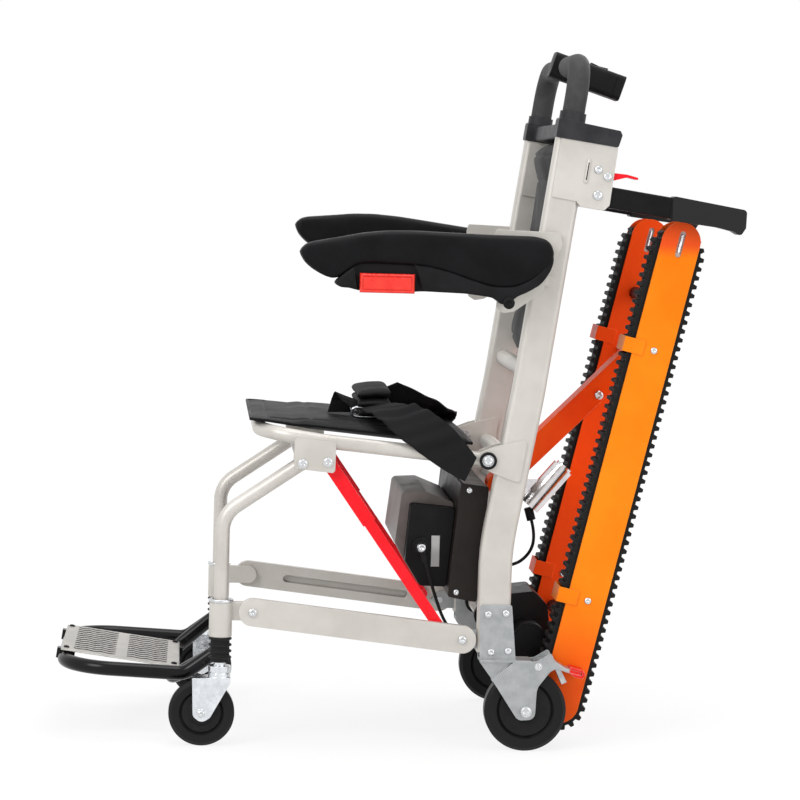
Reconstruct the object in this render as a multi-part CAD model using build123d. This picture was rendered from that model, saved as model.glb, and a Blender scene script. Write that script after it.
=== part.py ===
from build123d import *
from math import atan2, cos, degrees, hypot, pi, radians, sin, tan
import os

os.makedirs("parts", exist_ok=True)

# Stair climbing wheelchair. It faces -Y, its left side is +X and the floor is at height 0.
# Sizes are millimetres. Points in the side view are (depth, height): the depth is counted
# from the rear wheels' axle and the height from the floor.

# Clearances
touch_gap = 0.3
run_gap = 0.05
bolt_proud = 2.5
small_pin = 8.0

# Side columns, bent aluminium extrusions
column_x = 215.0
column_wide = 30.0
column_deep = 50.0
column_wall = 2.5
column_corner = 8.0
column_foot = (-51.0, 150.0)
column_knee = (-51.0, 308.0)
column_bend = (-9.5, 540.0)
column_top = (46.5, 930.0)
knee_radius = 420.0
bend_radius = 800.0
column_out = column_x + column_wide / 2
column_in = column_x - column_wide / 2

# Sheet metal on the columns
sheet = 3.0
outer_sheet_x = column_out
inner_sheet_x = column_in - sheet

# Cross members between the columns
cross_tube = 25.0
cross_wall = 2.0
cross_heights = (185.0, 290.0, 436.0, 575.0)

# Rear wheels and their forked brackets
wheel_x = 219.0
rear_wheel = 125.0
rear_wheel_wide = 30.0
rear_hub = 88.0
axle = 10.0
bracket_reach = 7.0
flange_height = 140.0

# Foot brakes
brake_pivot = (17.0, 131.5)
brake_wide = 29.0

# Casters
caster_x = 217.5
caster_wheel = 100.0
caster_wheel_wide = 24.0
caster_hub = 68.0
caster_stem = -466.0
caster_trail = 26.0
fork_sheet = 2.5
stem = 12.0
head = 34.0
head_foot = 104.0
head_top = 122.0

# Front legs
leg_tube = 22.0
leg_wall = 2.0
leg_foot = 128.0
leg_knee = (-461.0, 352.0)
leg_radius = 46.0
leg_cross = 16.0
sleeve = 35.0
sleeve_foot = 166.0
sleeve_top = 221.0
collar_ribs = 4
collar_rib = 5.0

# Fold pivots, in the side view
seat_pivot = (-68.0, 443.0)
leg_pivot = (-348.0, 433.0)
link_front = (-418.0, 205.0)
link_rear = (-99.0, 169.0)
strut_top = (-310.0, 436.0)
strut_foot = (-128.0, 178.0)
pin = 10.0

# Lower link bars and red lock struts
link_high = 42.0
link_wide = 12.0
link_wall = 2.0
link_out = column_out - touch_gap
link_in = link_out - link_wide
link_slot = 12.0
slot_from = 54.0
slot_to = 262.0
lug_wide = 12.0
lug_high = 28.0
strut_wide = 17.0
strut_deep = 10.0
strut_wall = 2.0
sleeve_part = 0.36

# Seat
seat_x = 217.5
seat_tube = 22.0
seat_kink = (-320.0, 466.5)
seat_front = (-413.0, 480.0)
seat_corner = 60.0
gusset_foot = 421.0
pad_half = 199.0
pad_crown = 5.0
pad_gap = touch_gap
pad_stations = ((-426, 492.5, 13, 0.97), (-400, 489.5, 15, 1.0), (-330, 478.4, 17, 1.0),
                (-200, 466.2, 19, 0.995), (-130, 459.7, 21, 0.98), (-90, 456.0, 18, 0.965))
strap_wide = 48.0
strap_thick = 4.0
strap_rise = 3.2
fold_depth = -250.0
fold_long = 190.0
fold_wide = 62.0
fold_high = 8.0
ring_sheet = 1.7
ring_gap = 0.3

# Footrest
foot_pivot = (-466.0, 142.0)
foot_x = 182.0
foot_tube = 22.0
foot_kink = (-519.0, 103.0)
foot_front = (-704.0, 112.0)
foot_corner = 75.0
foot_pin = 9.0
foot_rear = (-538.0, 89.0)
tread_half = 127.0
tread_gap = 2.0
tread_band = 18.0
clip_x = 92.0
tread_thick = 4.0
tread_rows = 15
tread_slot = 7.0

# Push handle, which slides in the columns
handle_tube = 22.0
handle_foam = 34.0
handle_back = -5.0
handle_high = 115.0
handle_corner = 52.0
handle_insert = 330.0
foam_end = 62.0
cap_high = 27.0
collar_high = 41.0
cap_rear = 72.0

# Control box on the push handle
box_tilt = 18.0
box_long = 95.0
box_high = 40.0
box_wide = 46.0
rocker_at = 50.0
rocker_long = 28.0
rocker_wide = 17.0
rocker_deep = 5.0

# Rear lift bars
bar_pivot = (50.6, -76.0)
bar_high = 32.0
bar_long = 222.0
grip_wide = 34.0
release_pivot = (60.6, -46.0)

# Backrest
back_half = column_in - sheet - touch_gap
back_rear = 20.0
back_crown = 22.0
back_slices = 18
back_profile = ((-8, -2), (-26, -26), (-12, -60), (-10, -120), (-10, -200), (-9, -262), (-14, -300), (0, -338))

# Armrests
arm_in = 240.0
arm_wide = 42.0
arm_pivot = (-49.0, 684.0)
arm_mount_x = 236.3
arm_tilt_right = -6.0
button_deep = 10.0
button_travel = 4.0
button_long = 82.0
button_high = 29.0

# Tracks
track_x = 160.0
track_lean = 13.01
track_pivot = (57.0, 66.0)
plate_half = 30.0
plate_sheet = 3.0
track_inside = 54.0
plate_run = 733.0
belt_run = 712.0
belt_wide = 50.0
belt_inner = 30.0
belt_root = 36.0
belt_tip = 42.0
belt_pitch = 14.0
tooth_foot = 9.0
tooth_top = 5.0
drive_shaft = 16.0
idler_pin = 12.0
pulley_gap = 0.4
rail_half = 29.0
rail_wide = 40.0
tab_runs = (165.0, 562.0)
tab_size = 23.0
track_cross_runs = (110.0, 640.0)
track_cross = 20.0

# Stay arm between the chassis and the tracks
stay_pivot = (-30.0, 386.0)
stay_end = (179.3, 595.3)
stay_high = 35.0
stay_wide = 45.0
stay_sheet = 3.0
stay_pin = 12.0

# Drive gearbox and motors
gear_half = 58.0
motor_round = 56.0
motor_at = (15.0, 152.0)
motor_long = 58.0

# Battery and electronics
battery_half = 136.0
unit_from = 116.0
unit_to = 150.0
plug_x = unit_to
housing_half = 190.0
housing_wall = 3.0
plug_at = (-160.0, 302.0)
plug_round = 18.0
lead = 5.0
lift_round = 35.0
lift_x = 62.0
lift_low = (15.0, 358.0)
lift_high = (67.0, 419.0)
boot_at = (17.0, 345.0)
boot_tilt = 16.0
boot_long = 20.0


def outline(points, radii=0):
    # Flat face in the side view with rounded corners.
    if radii:
        return Plane.YZ * make_face(FilletPolyline(*points, radius=radii, close=True))
    return Plane.YZ * make_face(Polyline(*points, close=True))


def plate(points, x, thick, radii=0):
    # Side-view outline given a thickness, from x towards the left of the chair.
    return Pos(x, 0, 0) * extrude(outline(points, radii), thick)


def rod(point, x_from, x_to, across):
    # Round bar along the width of the chair.
    bar = Cylinder(across / 2, abs(x_to - x_from), rotation=(0, 90, 0))
    return Pos((x_from + x_to) / 2, point[0], point[1]) * bar


def tube(points, across, bend=0, wall=0):
    # Round tube along straight runs joined by bends.
    path = FilletPolyline(*points, radius=bend) if len(points) > 2 else Line(*points)
    ring = Circle(across / 2)
    if wall:
        ring -= Circle(across / 2 - wall)
    return sweep(Plane(origin=path @ 0, z_dir=path % 0) * ring, path=path)


def mirrored(part):
    return mirror(part, about=Plane.YZ)


def pair(part):
    return [part, mirrored(part)]


def between(a, b, share):
    return (a[0] + (b[0] - a[0]) * share, a[1] + (b[1] - a[1]) * share)


def at_x(x, point):
    return (x, point[0], point[1])


def column_depth(height):
    # Depth of the column's centre line at a height.
    line = (column_foot, column_knee, column_bend, column_top)
    for low, high in zip(line, line[1:]):
        if height <= high[1]:
            break
    return low[0] + (high[0] - low[0]) * (height - low[1]) / (high[1] - low[1])


lean = degrees(atan2(column_top[0] - column_bend[0], column_top[1] - column_bend[1]))
top_frame = Pos(0, column_top[0], column_top[1]) * Rot(-lean, 0, 0)
track_frame = Pos(0, track_pivot[0], track_pivot[1]) * Rot(-track_lean, 0, 0)


def save(name, *solids):
    # Writes one named piece, moved from the axle to the middle of the plan.
    flat = []
    for solid in solids:
        flat.extend(solid if isinstance(solid, list) else [solid])
    bodies = [body for part in flat for body in (shift * part).solids()]
    export_step(Compound(children=bodies), "parts/" + name + ".step")


def column():
    # Hollow rounded extrusion, upright below, then leaning back.
    line = [at_x(column_x, p) for p in (column_foot, column_knee, column_bend, column_top)]
    path = FilletPolyline(*line, radius=[knee_radius, bend_radius])
    inside = column_wall * 2
    ring = RectangleRounded(column_wide, column_deep, column_corner)
    ring -= RectangleRounded(column_wide - inside, column_deep - inside, column_corner - column_wall)
    body = sweep(Plane(origin=path @ 0, x_dir=(1, 0, 0), z_dir=path % 0) * ring, path=path)
    for height in cross_heights:
        body -= rod((column_depth(height), height), 0, column_in + column_wall, cross_tube)
    body -= rod(stay_pivot, 0, column_in + column_wall, stay_pin)
    return body


def cross_members():
    # Round tubes whose ends enter the inner walls of the columns, and the stay arm's shaft.
    end = column_in + column_wall
    tubes = []
    for height in cross_heights:
        at = (column_depth(height), height)
        tubes.append(rod(at, -end, end, cross_tube) - rod(at, -end, end, cross_tube - 2 * cross_wall))
    tubes.append(rod(stay_pivot, -end, end, stay_pin))
    return tubes


def top_cap():
    # Moulded cap over the column's head and the side plates, with a collar for the handle leg.
    wide = column_wide + 2 * sheet + 4
    profile = [(-27, 0), (cap_rear - 3, 0), (cap_rear, cap_high - 8), (cap_rear - 4, cap_high - 2),
               (14, cap_high), (-27, cap_high + 4)]
    cap = plate(profile, column_x - wide / 2, wide, [3, 3, 3, 3, 8, 5])
    cap += Pos(column_x, handle_back, collar_high / 2) * Cylinder(handle_foam / 2 + 3, collar_high)
    cap -= Pos(column_x, handle_back, collar_high / 2) * Cylinder(handle_tube / 2 + touch_gap, 3 * collar_high)
    return top_frame * cap


def top_crossbar():
    # Black box section that joins the two caps.
    half = column_x - column_wide / 2 - sheet - 2
    bar = Pos(0, 4, cap_high / 2) * Box(2 * half, 34, cap_high - 3)
    bar = fillet(bar.edges().filter_by(Axis.X), 6)
    return top_frame * bar


def side_plates():
    # Sheets on both faces of the column's head, which carry the lift bar between them.
    shape = [(-18, 0), (69, 0), (71, -88), (64, -97), (27, -97), (20, -90), (-18, -90)]
    corners = [1, 1, 5, 7, 3, 3, 4]
    plates = []
    for x in (outer_sheet_x, inner_sheet_x):
        sheet_part = plate(shape, x, sheet, corners)
        sheet_part -= rod(bar_pivot, x - 1, x + sheet + 1, pin)
        sheet_part -= rod(release_pivot, x - 1, x + sheet + 1, small_pin)
        plates.append(top_frame * sheet_part)
    return plates


def hinge_plates():
    # Lugs on both faces of the column that hold the seat's rear pivot.
    y, z = seat_pivot
    back = column_depth(z)
    shape = [(y - 16, z - 4), (y - 12, z + 13), (y + 10, z + 22), (back + 18, z + 34),
             (back + 8, z - 34), (y + 6, z - 18)]
    plates = []
    for x in (outer_sheet_x, inner_sheet_x):
        body = plate(shape, x, sheet, [8, 8, 6, 6, 6, 8]) - rod(seat_pivot, x - 1, x + sheet + 1, pin)
        if x < column_x:
            body -= rod((column_depth(cross_heights[2]), cross_heights[2]), x - 1, x + sheet + 1, cross_tube)
        plates.append(body)
    return plates


def armrest_mount():
    # Plate on two spacers outside the column, with the armrest's pivot and its upper stop.
    shape = [(-64, 674), (-52, 667), (-36, 670), (6, 700), (34, 772), (30, 790), (-66, 793), (-69, 780), (-58, 720)]
    body = plate(shape, arm_mount_x, sheet, [6, 8, 8, 20, 8, 4, 4, 8, 30])
    for point in ((column_depth(716), 716), (column_depth(772), 772)):
        body += rod(point, column_out, arm_mount_x + sheet / 2, 16)
    body -= rod(arm_pivot, arm_mount_x - 1, arm_mount_x + sheet + 1, pin)
    return body


def rear_bracket():
    # Stamped bracket: flat on the column, bent outwards along a crease to fork the wheel.
    fork_x = outer_sheet_x + bracket_reach
    wrap = [(-74, 223), (-25, 224), (-17, 138), (-52, 109), (-72, 136)]
    body = plate(wrap, outer_sheet_x, sheet, [4, 4, 1, 3, 5])
    body += plate(wrap, inner_sheet_x, sheet, [4, 4, 1, 3, 5])
    cheek = [(-53, 110), (-17, 139), (14, 139), (36, 153), (47, 130), (36, 124), (16, 98), (14, 50), (-12, 48)]
    corners = [2, 3, 14, 4, 4, 16, 24, 11, 12]
    body += plate(cheek, fork_x, sheet, corners)
    body += plate(cheek, inner_sheet_x, sheet, corners)
    crease = [(-54, 110), (-52, 107), (-14, 136.5), (-17, 140)]
    body += plate(crease, outer_sheet_x, bracket_reach + sheet)
    roof = [(-71, flange_height), (6, flange_height), (6, flange_height - sheet), (-71, flange_height - sheet)]
    body += plate(roof, inner_sheet_x, fork_x + sheet - inner_sheet_x)
    lug = [(-70, link_rear[1] - lug_high / 2), (-70, link_rear[1] + lug_high / 2),
           (link_rear[0], link_rear[1] + lug_high / 2), (link_rear[0] - lug_high / 2, link_rear[1]),
           (link_rear[0], link_rear[1] - lug_high / 2)]
    lug_x = link_in - touch_gap - lug_wide
    body += plate(lug, lug_x, lug_wide) - plate([(-66, 0), (0, 0), (0, 400), (-66, 400)], lug_x, lug_wide)
    body -= rod((0, rear_wheel / 2), inner_sheet_x - 1, fork_x + sheet + 1, axle)
    body -= rod(brake_pivot, inner_sheet_x - 1, fork_x + sheet + 1, small_pin)
    body -= rod(link_rear, lug_x - 1, lug_x + lug_wide + 1, pin)
    body -= rod((column_depth(cross_heights[0]), cross_heights[0]), inner_sheet_x - 1, column_in, cross_tube)
    body -= plate([(-76, 140.5), (-20, 140.5), (-20, 230), (-76, 230)], column_in, column_wide)
    return body


def wheel(radius, wide, hub, bore):
    # Solid tyre with a rounded tread on a disc hub with a groove and a raised boss.
    tyre_edge = 5
    half = wide / 2
    tyre = [(hub / 2, -half + 2), (radius - tyre_edge, -half), (radius, -half + tyre_edge),
            (radius, half - tyre_edge), (radius - tyre_edge, half), (hub / 2, half - 2)]
    hub_half = [(bore, -half + 1), (16, -half + 1), (20, -half + 4), (hub / 2 - 5, -half + 4),
                (hub / 2 - 2.5, -half + 6), (hub / 2, -half + 3), (hub / 2, half - 3),
                (hub / 2 - 2.5, half - 6), (hub / 2 - 5, half - 4), (20, half - 4), (16, half - 1), (bore, half - 1)]
    parts = []
    for profile in (tyre, hub_half):
        face = Plane.XZ * make_face(Polyline(*profile, close=True))
        parts.append(Rot(0, 90, 0) * revolve(face, Axis.Z))
    return parts


def rear_wheel_left():
    tyre, hub = wheel(rear_wheel / 2, rear_wheel_wide, rear_hub, axle / 2 + run_gap)
    place = Pos(wheel_x, 0, rear_wheel / 2)
    return [place * tyre, place * hub]


def caster_wheel_left():
    tyre, hub = wheel(caster_wheel / 2, caster_wheel_wide, caster_hub, axle / 2 + run_gap)
    place = Pos(caster_x, caster_stem - caster_trail, caster_wheel / 2)
    return [place * tyre, place * hub]


def caster_fork():
    # Pressed zinc fork that trails its stem, with the round swivel head above it.
    y = caster_stem - caster_trail
    half = caster_wheel_wide / 2 + 2.5
    cheek = [(y - 15, 104), (-449, 106), (-449, 98), (y + 13, 44), (y, 36), (y - 13, 46)]
    fork = plate(cheek, caster_x - half - fork_sheet, fork_sheet, [4, 3, 6, 9, 11, 9])
    fork += plate(cheek, caster_x + half, fork_sheet, [4, 3, 6, 9, 11, 9])
    crown = [(y - 15, 104), (-449, 106), (-449, 103), (y - 15, 101)]
    fork += plate(crown, caster_x - half - fork_sheet, 2 * (half + fork_sheet))
    fork += Pos(caster_x, caster_stem, (head_foot + head_top) / 2) * Cylinder(head / 2, head_top - head_foot)
    groove = Pos(caster_x, caster_stem, 112) * (Cylinder(head / 2 + 1, 2.5) - Cylinder(head / 2 - 2, 2.5))
    fork -= groove
    fork += Pos(caster_x, caster_stem, head_top + 10) * Cylinder(stem / 2, 60)
    fork += Pos(caster_x, caster_stem, (head_top + leg_foot - touch_gap) / 2) * Cylinder(9, leg_foot - touch_gap - head_top)
    reach = half + fork_sheet + bolt_proud
    fork += rod((y, caster_wheel / 2), caster_x - reach, caster_x + reach, axle)
    fork += rod((y, caster_wheel / 2), caster_x - reach, caster_x - half - fork_sheet, 15)
    fork += rod((y, caster_wheel / 2), caster_x + half + fork_sheet, caster_x + reach, 15)
    return fork


def bolt_through(point, x_from, x_to, across, head_across, head_high=bolt_proud):
    # Bolt with a head outside and a nut inside.
    body = rod(point, x_from, x_to, across)
    body += rod(point, x_to, x_to + head_high, head_across)
    body += rod(point, x_from - head_high, x_from, head_across)
    return body


def chassis_bolts():
    # Every pivot bolt that the left column carries.
    fork_x = outer_sheet_x + bracket_reach + sheet
    outer = outer_sheet_x + sheet
    axle_end = bolt_through((0, rear_wheel / 2), inner_sheet_x, fork_x, axle, 17, 5)
    brake_bolt = bolt_through(brake_pivot, inner_sheet_x, fork_x, small_pin, 12)
    seat_bolt = bolt_through(seat_pivot, inner_sheet_x, outer, pin, 22, 4)
    lift_bolt = top_frame * bolt_through(bar_pivot, inner_sheet_x, outer, pin, 14)
    release_bolt = top_frame * bolt_through(release_pivot, inner_sheet_x, outer, small_pin, 12)
    lug_x = link_in - touch_gap - lug_wide
    link_pin = rod(link_rear, lug_x - bolt_proud, link_out - link_wall - touch_gap, pin)
    return [axle_end, brake_bolt, seat_bolt, lift_bolt, release_bolt, link_pin]


def front_leg():
    # Bent leg tube from the caster stem up to its pivot under the seat.
    path = [(caster_x, caster_stem, leg_foot), (caster_x, caster_stem, leg_knee[1]),
            (caster_x, leg_pivot[0], leg_pivot[1])]
    leg = tube(path, leg_tube, leg_radius, leg_wall)
    leg += Pos(caster_x, caster_stem, (leg_foot + sleeve_foot) / 2) * Cylinder(leg_tube / 2, sleeve_foot - leg_foot)
    leg += rod(leg_pivot, caster_x - leg_tube / 2, caster_x + leg_tube / 2, leg_tube)
    leg += rod(leg_pivot, 0, caster_x - leg_tube / 2, leg_cross)
    leg -= rod(leg_pivot, caster_x - leg_tube / 2, caster_x + 20, pin + 2 * run_gap)
    leg -= Pos(caster_x, caster_stem, leg_foot) * Cylinder(stem / 2 + run_gap, 70)
    return leg


def leg_sleeve():
    # Cast sleeve clamped on the leg with a lug for the link bar and the footrest pin.
    height = sleeve_top - sleeve_foot
    body = Pos(caster_x, caster_stem, (sleeve_foot + sleeve_top) / 2) * Cylinder(sleeve / 2, height)
    body = chamfer(body.edges().filter_by(GeomType.CIRCLE), 1.5)
    lug_x = link_in - touch_gap - lug_wide
    y, z = link_front
    lug = plate([(caster_stem, z - lug_high / 2), (y, z - lug_high / 2), (y, z + lug_high / 2),
                 (caster_stem, z + lug_high / 2)], lug_x, lug_wide)
    body += lug + rod(link_front, lug_x, lug_x + lug_wide, lug_high)
    body -= Pos(caster_x, caster_stem, sleeve_foot) * Cylinder(leg_tube / 2, 200)
    return body


def leg_collar():
    # Ribbed rubber collar under the sleeve.
    half = sleeve / 2
    foot = leg_foot
    step = (sleeve_foot - foot) / collar_ribs
    profile = [(leg_tube / 2, foot)]
    for rib in range(collar_ribs):
        z = foot + rib * step
        profile += [(half - 3, z), (half - 3, z + step - collar_rib), (half, z + step - collar_rib + 1.5),
                    (half, z + step - 1.5), (half - 3, z + step)]
        if rib < collar_ribs - 1:
            profile.pop()
    profile.append((leg_tube / 2, sleeve_foot))
    face = Plane.XZ * make_face(Polyline(*profile, close=True))
    ring = Pos(caster_x, caster_stem, 0) * revolve(face, Axis.Z)
    return ring - rod(foot_pivot, foot_x, caster_x - leg_tube / 2, foot_pin)


def footrest_pin():
    # Pin on the leg's inner side that the footrest swings on.
    inner = foot_x - foot_tube / 2 - 4
    stud = rod(foot_pivot, inner, caster_x - leg_tube / 2, foot_pin)
    return stud + rod(foot_pivot, inner - 2, inner, foot_pin + 6)


def footrest_frame():
    # One bent tube round the front with eyes on the legs' pins, and a dropped tube across its rear.
    line = [at_x(foot_x, foot_pivot), at_x(foot_x, foot_kink), at_x(foot_x, foot_front)]
    line += [(-x, y, z) for x, y, z in reversed(line)]
    path = FilletPolyline(*line, radius=[30, foot_corner, foot_corner, 30])
    ring = Circle(foot_tube / 2) - Circle(foot_tube / 2 - leg_wall)
    body = sweep(Plane(origin=path @ 0, z_dir=path % 0) * ring, path=path)
    rear = [at_x(foot_x, between(foot_pivot, foot_kink, 0.25)), at_x(foot_x - 44, foot_rear)]
    rear += [(-x, y, z) for x, y, z in reversed(rear)]
    body += tube(rear, foot_tube, 40)
    for side in (-1, 1):
        body += rod(foot_pivot, side * (foot_x - 11), side * (foot_x + 11), foot_tube + 2)
        body -= rod(foot_pivot, side * (foot_x - 20), side * (foot_x + 20), foot_pin + 2 * run_gap)
    return body


def tread_frame():
    # Frame on the front tube's centre, its length towards the rear tube.
    turn = degrees(atan2(foot_rear[1] - foot_front[1], foot_rear[0] - foot_front[0]))
    return Pos(0, *foot_front) * Rot(turn, 0, 0)


def tread_plate():
    # Aluminium plate across the two tubes with two fields of slots.
    span = hypot(foot_rear[0] - foot_front[0], foot_rear[1] - foot_front[1])
    height = foot_tube / 2 + tread_gap + tread_thick / 2
    body = Pos(0, span / 2, height) * Box(2 * tread_half, span + 16, tread_thick)
    body = fillet(body.edges().filter_by(Axis.Z), 6)
    field = (span - 2 * tread_band) / 2 - tread_band / 2
    pitch = (2 * tread_half - 2 * tread_slot) / tread_rows
    for row in range(tread_rows):
        x = (row - (tread_rows - 1) / 2) * pitch
        for side in (-1, 1):
            y = span / 2 + side * (field + tread_band) / 2
            body -= Pos(x, y, height) * Box(tread_slot, field, 2 * tread_thick)
    return tread_frame() * body


def tread_clips():
    # Four plastic clips between the plate and the two tubes.
    span = hypot(foot_rear[0] - foot_front[0], foot_rear[1] - foot_front[1])
    top = foot_tube / 2 + tread_gap
    clips = []
    for y in (0, span):
        for x in (-clip_x, clip_x):
            block = Pos(x, y, (top - 3) / 2) * Box(16, foot_tube + 6, top + 3)
            clips.append(tread_frame() * (block - rod((y, 0), x - 20, x + 20, foot_tube)))
    return clips


def link_bar():
    # Hollow bar with round ends and a long slot in its inner face for the lock strut's pin.
    tilt = degrees(atan2(link_front[1] - link_rear[1], link_rear[0] - link_front[0]))
    long = hypot(link_front[0] - link_rear[0], link_front[1] - link_rear[1])
    shell = SlotCenterToCenter(long, link_high) - SlotCenterToCenter(long, link_high - 2 * link_wall)
    web = SlotCenterToCenter(long, link_high)
    side = Plane(origin=(link_in, 0, 0), x_dir=(0, -1, 0), z_dir=(-1, 0, 0))
    face_out = Plane(origin=(link_out - link_wall, 0, 0), x_dir=(0, -1, 0), z_dir=(1, 0, 0))
    body = extrude(side * shell, -link_wide)
    body += extrude(face_out * web, link_wall)
    body += extrude(side * web, -link_wall)
    slot_middle = long / 2 - (slot_from + slot_to) / 2
    hole = SlotOverall(slot_to - slot_from, link_slot)
    body -= Pos(link_in, slot_middle, 0) * extrude(Plane.YZ * hole, link_wall, both=True)
    for end in (-long / 2, long / 2):
        body += rod((end, 0), link_in, link_out, pin + 8)
        body -= rod((end, 0), link_in - 1, link_out - link_wall, pin + 2 * run_gap)
        body += rod((end, 0), link_out, link_out + bolt_proud, 13)
    middle = between(link_rear, link_front, 0.5)
    return Pos(0, middle[0], middle[1]) * Rot(-tilt, 0, 0) * body


def lock_strut():
    # Red channel from the seat gusset to the link bar, with a shorter guide channel round its top.
    dy = strut_foot[0] - strut_top[0]
    dz = strut_foot[1] - strut_top[1]
    long = hypot(dy, dz)
    turn = degrees(atan2(dz, dy))
    outer = link_in - 4 * touch_gap
    inner = outer - strut_deep
    half = strut_wide / 2

    def channel(start, end, grow, front, back):
        body = Pos((front + back) / 2, (start + end) / 2, 0) * Box(front - back, end - start, strut_wide + 2 * grow)
        hollow = Box(front - back, end - start, strut_wide + 2 * grow - 2 * strut_wall)
        return body - Pos((front + back) / 2 - strut_wall, (start + end) / 2, 0) * hollow

    body = channel(0, long, 0, outer, inner)
    body += channel(-6, long * sleeve_part, 2, outer, inner)
    body += rod((0, 0), inner, outer, strut_wide + 4)
    body += rod((long, 0), inner, outer, strut_wide)
    body = body - rod((0, 0), inner - 1, outer + 1, pin + 2 * run_gap)
    return Pos(0, strut_top[0], strut_top[1]) * Rot(turn, 0, 0) * body


def seat_frame():
    # One bent tube round the seat, with an eye at each rear end.
    line = [at_x(seat_x, seat_pivot), at_x(seat_x, seat_kink), at_x(seat_x, seat_front)]
    line += [(-x, y, z) for x, y, z in reversed(line)]
    path = FilletPolyline(*line, radius=[150, seat_corner, seat_corner, 150])
    ring = Circle(seat_tube / 2)
    body = sweep(Plane(origin=path @ 0, z_dir=path % 0) * ring, path=path)
    for side in (-1, 1):
        body += rod(seat_pivot, side * (seat_x - 11), side * (seat_x + 11), seat_tube + 2)
        body -= rod(seat_pivot, side * (seat_x - 20), side * (seat_x + 20), pin + 2 * run_gap)
    return body


def gussets():
    # Plates welded to the seat tube that hold the leg and the lock strut.
    shape = [(-361, 472), (-298, 466), (-299, gusset_foot - 2), (-361, gusset_foot + 4)]
    plates = []
    gap = seat_tube / 2 + touch_gap
    for x in (seat_x + gap, seat_x - gap - sheet):
        body = plate(shape, x, sheet, 5)
        leg_hole = pin if x > seat_x else leg_cross + 2 * run_gap
        body -= rod(leg_pivot, x - 1, x + sheet + 1, leg_hole)
        body -= rod(strut_top, x - 1, x + sheet + 1, pin)
        plates.append(body)
    return plates


def fold_bolts():
    # Pivot bolts of the leg and the strut in the gussets.
    half = seat_tube / 2 + touch_gap + sheet
    leg_bolt = rod(leg_pivot, seat_x - seat_tube / 2 + touch_gap, seat_x + half, pin)
    leg_bolt += rod(leg_pivot, seat_x + half, seat_x + half + bolt_proud, 15)
    return [leg_bolt, bolt_through(strut_top, seat_x - half, seat_x + half, pin, 15)]


def seat_pad():
    # Thin padded seat with a crown, drawn-in sides and a front edge that curls up.
    sections = []
    for y, z, high, share in pad_stations:
        half = pad_half * share
        base = z + pad_gap
        mid = base + high / 2
        floor = Line((-half + 5, base), (half - 5, base))
        right = ThreePointArc((half - 5, base), (half, mid), (half - 6, base + high))
        crown = ThreePointArc((half - 6, base + high), (0, base + high + pad_crown), (-half + 6, base + high))
        left = ThreePointArc((-half + 6, base + high), (-half, mid), (-half + 5, base))
        face = make_face(Wire([floor, right, crown, left]))
        sections.append(Plane(origin=(0, y, 0), x_dir=(1, 0, 0), z_dir=(0, -1, 0)) * face)
    return loft(sections)


def pad_top(depth):
    # Height of the pad's upper edge at a depth.
    for front, rear in zip(pad_stations, pad_stations[1:]):
        if depth <= rear[0]:
            break
    share = (depth - front[0]) / (rear[0] - front[0])
    low = front[1] + front[2]
    high = rear[1] + rear[2]
    return low + (high - low) * share + pad_gap


def fold_frame():
    # Frame of the folded belt, lying on the crown of the pad.
    slope = degrees(atan2(pad_top(fold_depth + 30) - pad_top(fold_depth - 30), 60))
    rise = fold_high / 2 + ring_gap + ring_sheet + touch_gap
    return Pos(0, fold_depth, pad_top(fold_depth) + pad_crown + rise) * Rot(slope, 0, 0)


def lap_belt():
    # Wide webbing on both sides of the seat and the folded belt between them.
    depths = (-100, -130, -200, -275)
    under = [(depth, pad_top(depth) + strap_rise) for depth in depths]
    over = [(y, z + strap_thick) for y, z in reversed(under)]
    near = plate(under + over, pad_half - 8 - strap_wide, strap_wide)
    far = plate(under + over, -pad_half + 8, strap_wide)
    folded = Box(fold_long, fold_wide, fold_high)
    folded = fillet(folded.edges().filter_by(Axis.X), fold_high / 2 - 0.5)
    return [near, far, fold_frame() * Pos(20, 0, 0) * folded]


def belt_rings():
    # Metal slide rings round the folded belt.
    hole = (fold_wide + 2 * ring_gap, fold_high + 2 * ring_gap)
    ring = Box(5, hole[0] + 2 * ring_sheet, hole[1] + 2 * ring_sheet) - Box(9, *hole)
    return [fold_frame() * Pos(x, 0, 0) * ring for x in (-40, 75)]


def backrest_pad():
    # Padded panel down the columns, with a head roll and a lumbar roll on a smooth profile.
    profile = Spline(*back_profile)
    half = back_half - 1
    rear = back_rear - touch_gap
    sections = []
    for index in range(back_slices + 1):
        spot = profile @ (index / back_slices)
        edge = min(spot.X + back_crown, rear - 5)
        inner = half * 0.95
        face_line = ThreePointArc((inner, edge), (0, spot.X), (-inner, edge))
        rest = Polyline((-inner, edge), (-half, edge + 3), (-half, rear), (half, rear), (half, edge + 3), (inner, edge))
        face = make_face(Wire([face_line, *rest.edges()]))
        sections.append(Plane(origin=(0, 0, spot.Y), x_dir=(1, 0, 0), z_dir=(0, 0, 1)) * face)
    return top_frame * loft(sections, ruled=True)


def backrest_shell():
    # Moulded rear shell with upright ribs, bolted between the columns.
    shell = Pos(0, back_rear + 2, -171) * Box(2 * back_half, 4, 330)
    for x in (-120, -60, 0, 60, 120):
        shell += Pos(x, back_rear + 6, -171) * Box(4, 6, 300)
    shell -= top_frame.inverse() * rod((column_depth(600), 600), -300, 300, cross_tube + 2 * touch_gap)
    return top_frame * shell


def push_handle():
    # Bent tube whose legs slide inside the columns.
    low = -handle_insert
    line = [(column_x, handle_back, low), (column_x, handle_back, handle_high),
            (-column_x, handle_back, handle_high), (-column_x, handle_back, low)]
    return top_frame * tube(line, handle_tube, handle_corner, 2)


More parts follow.
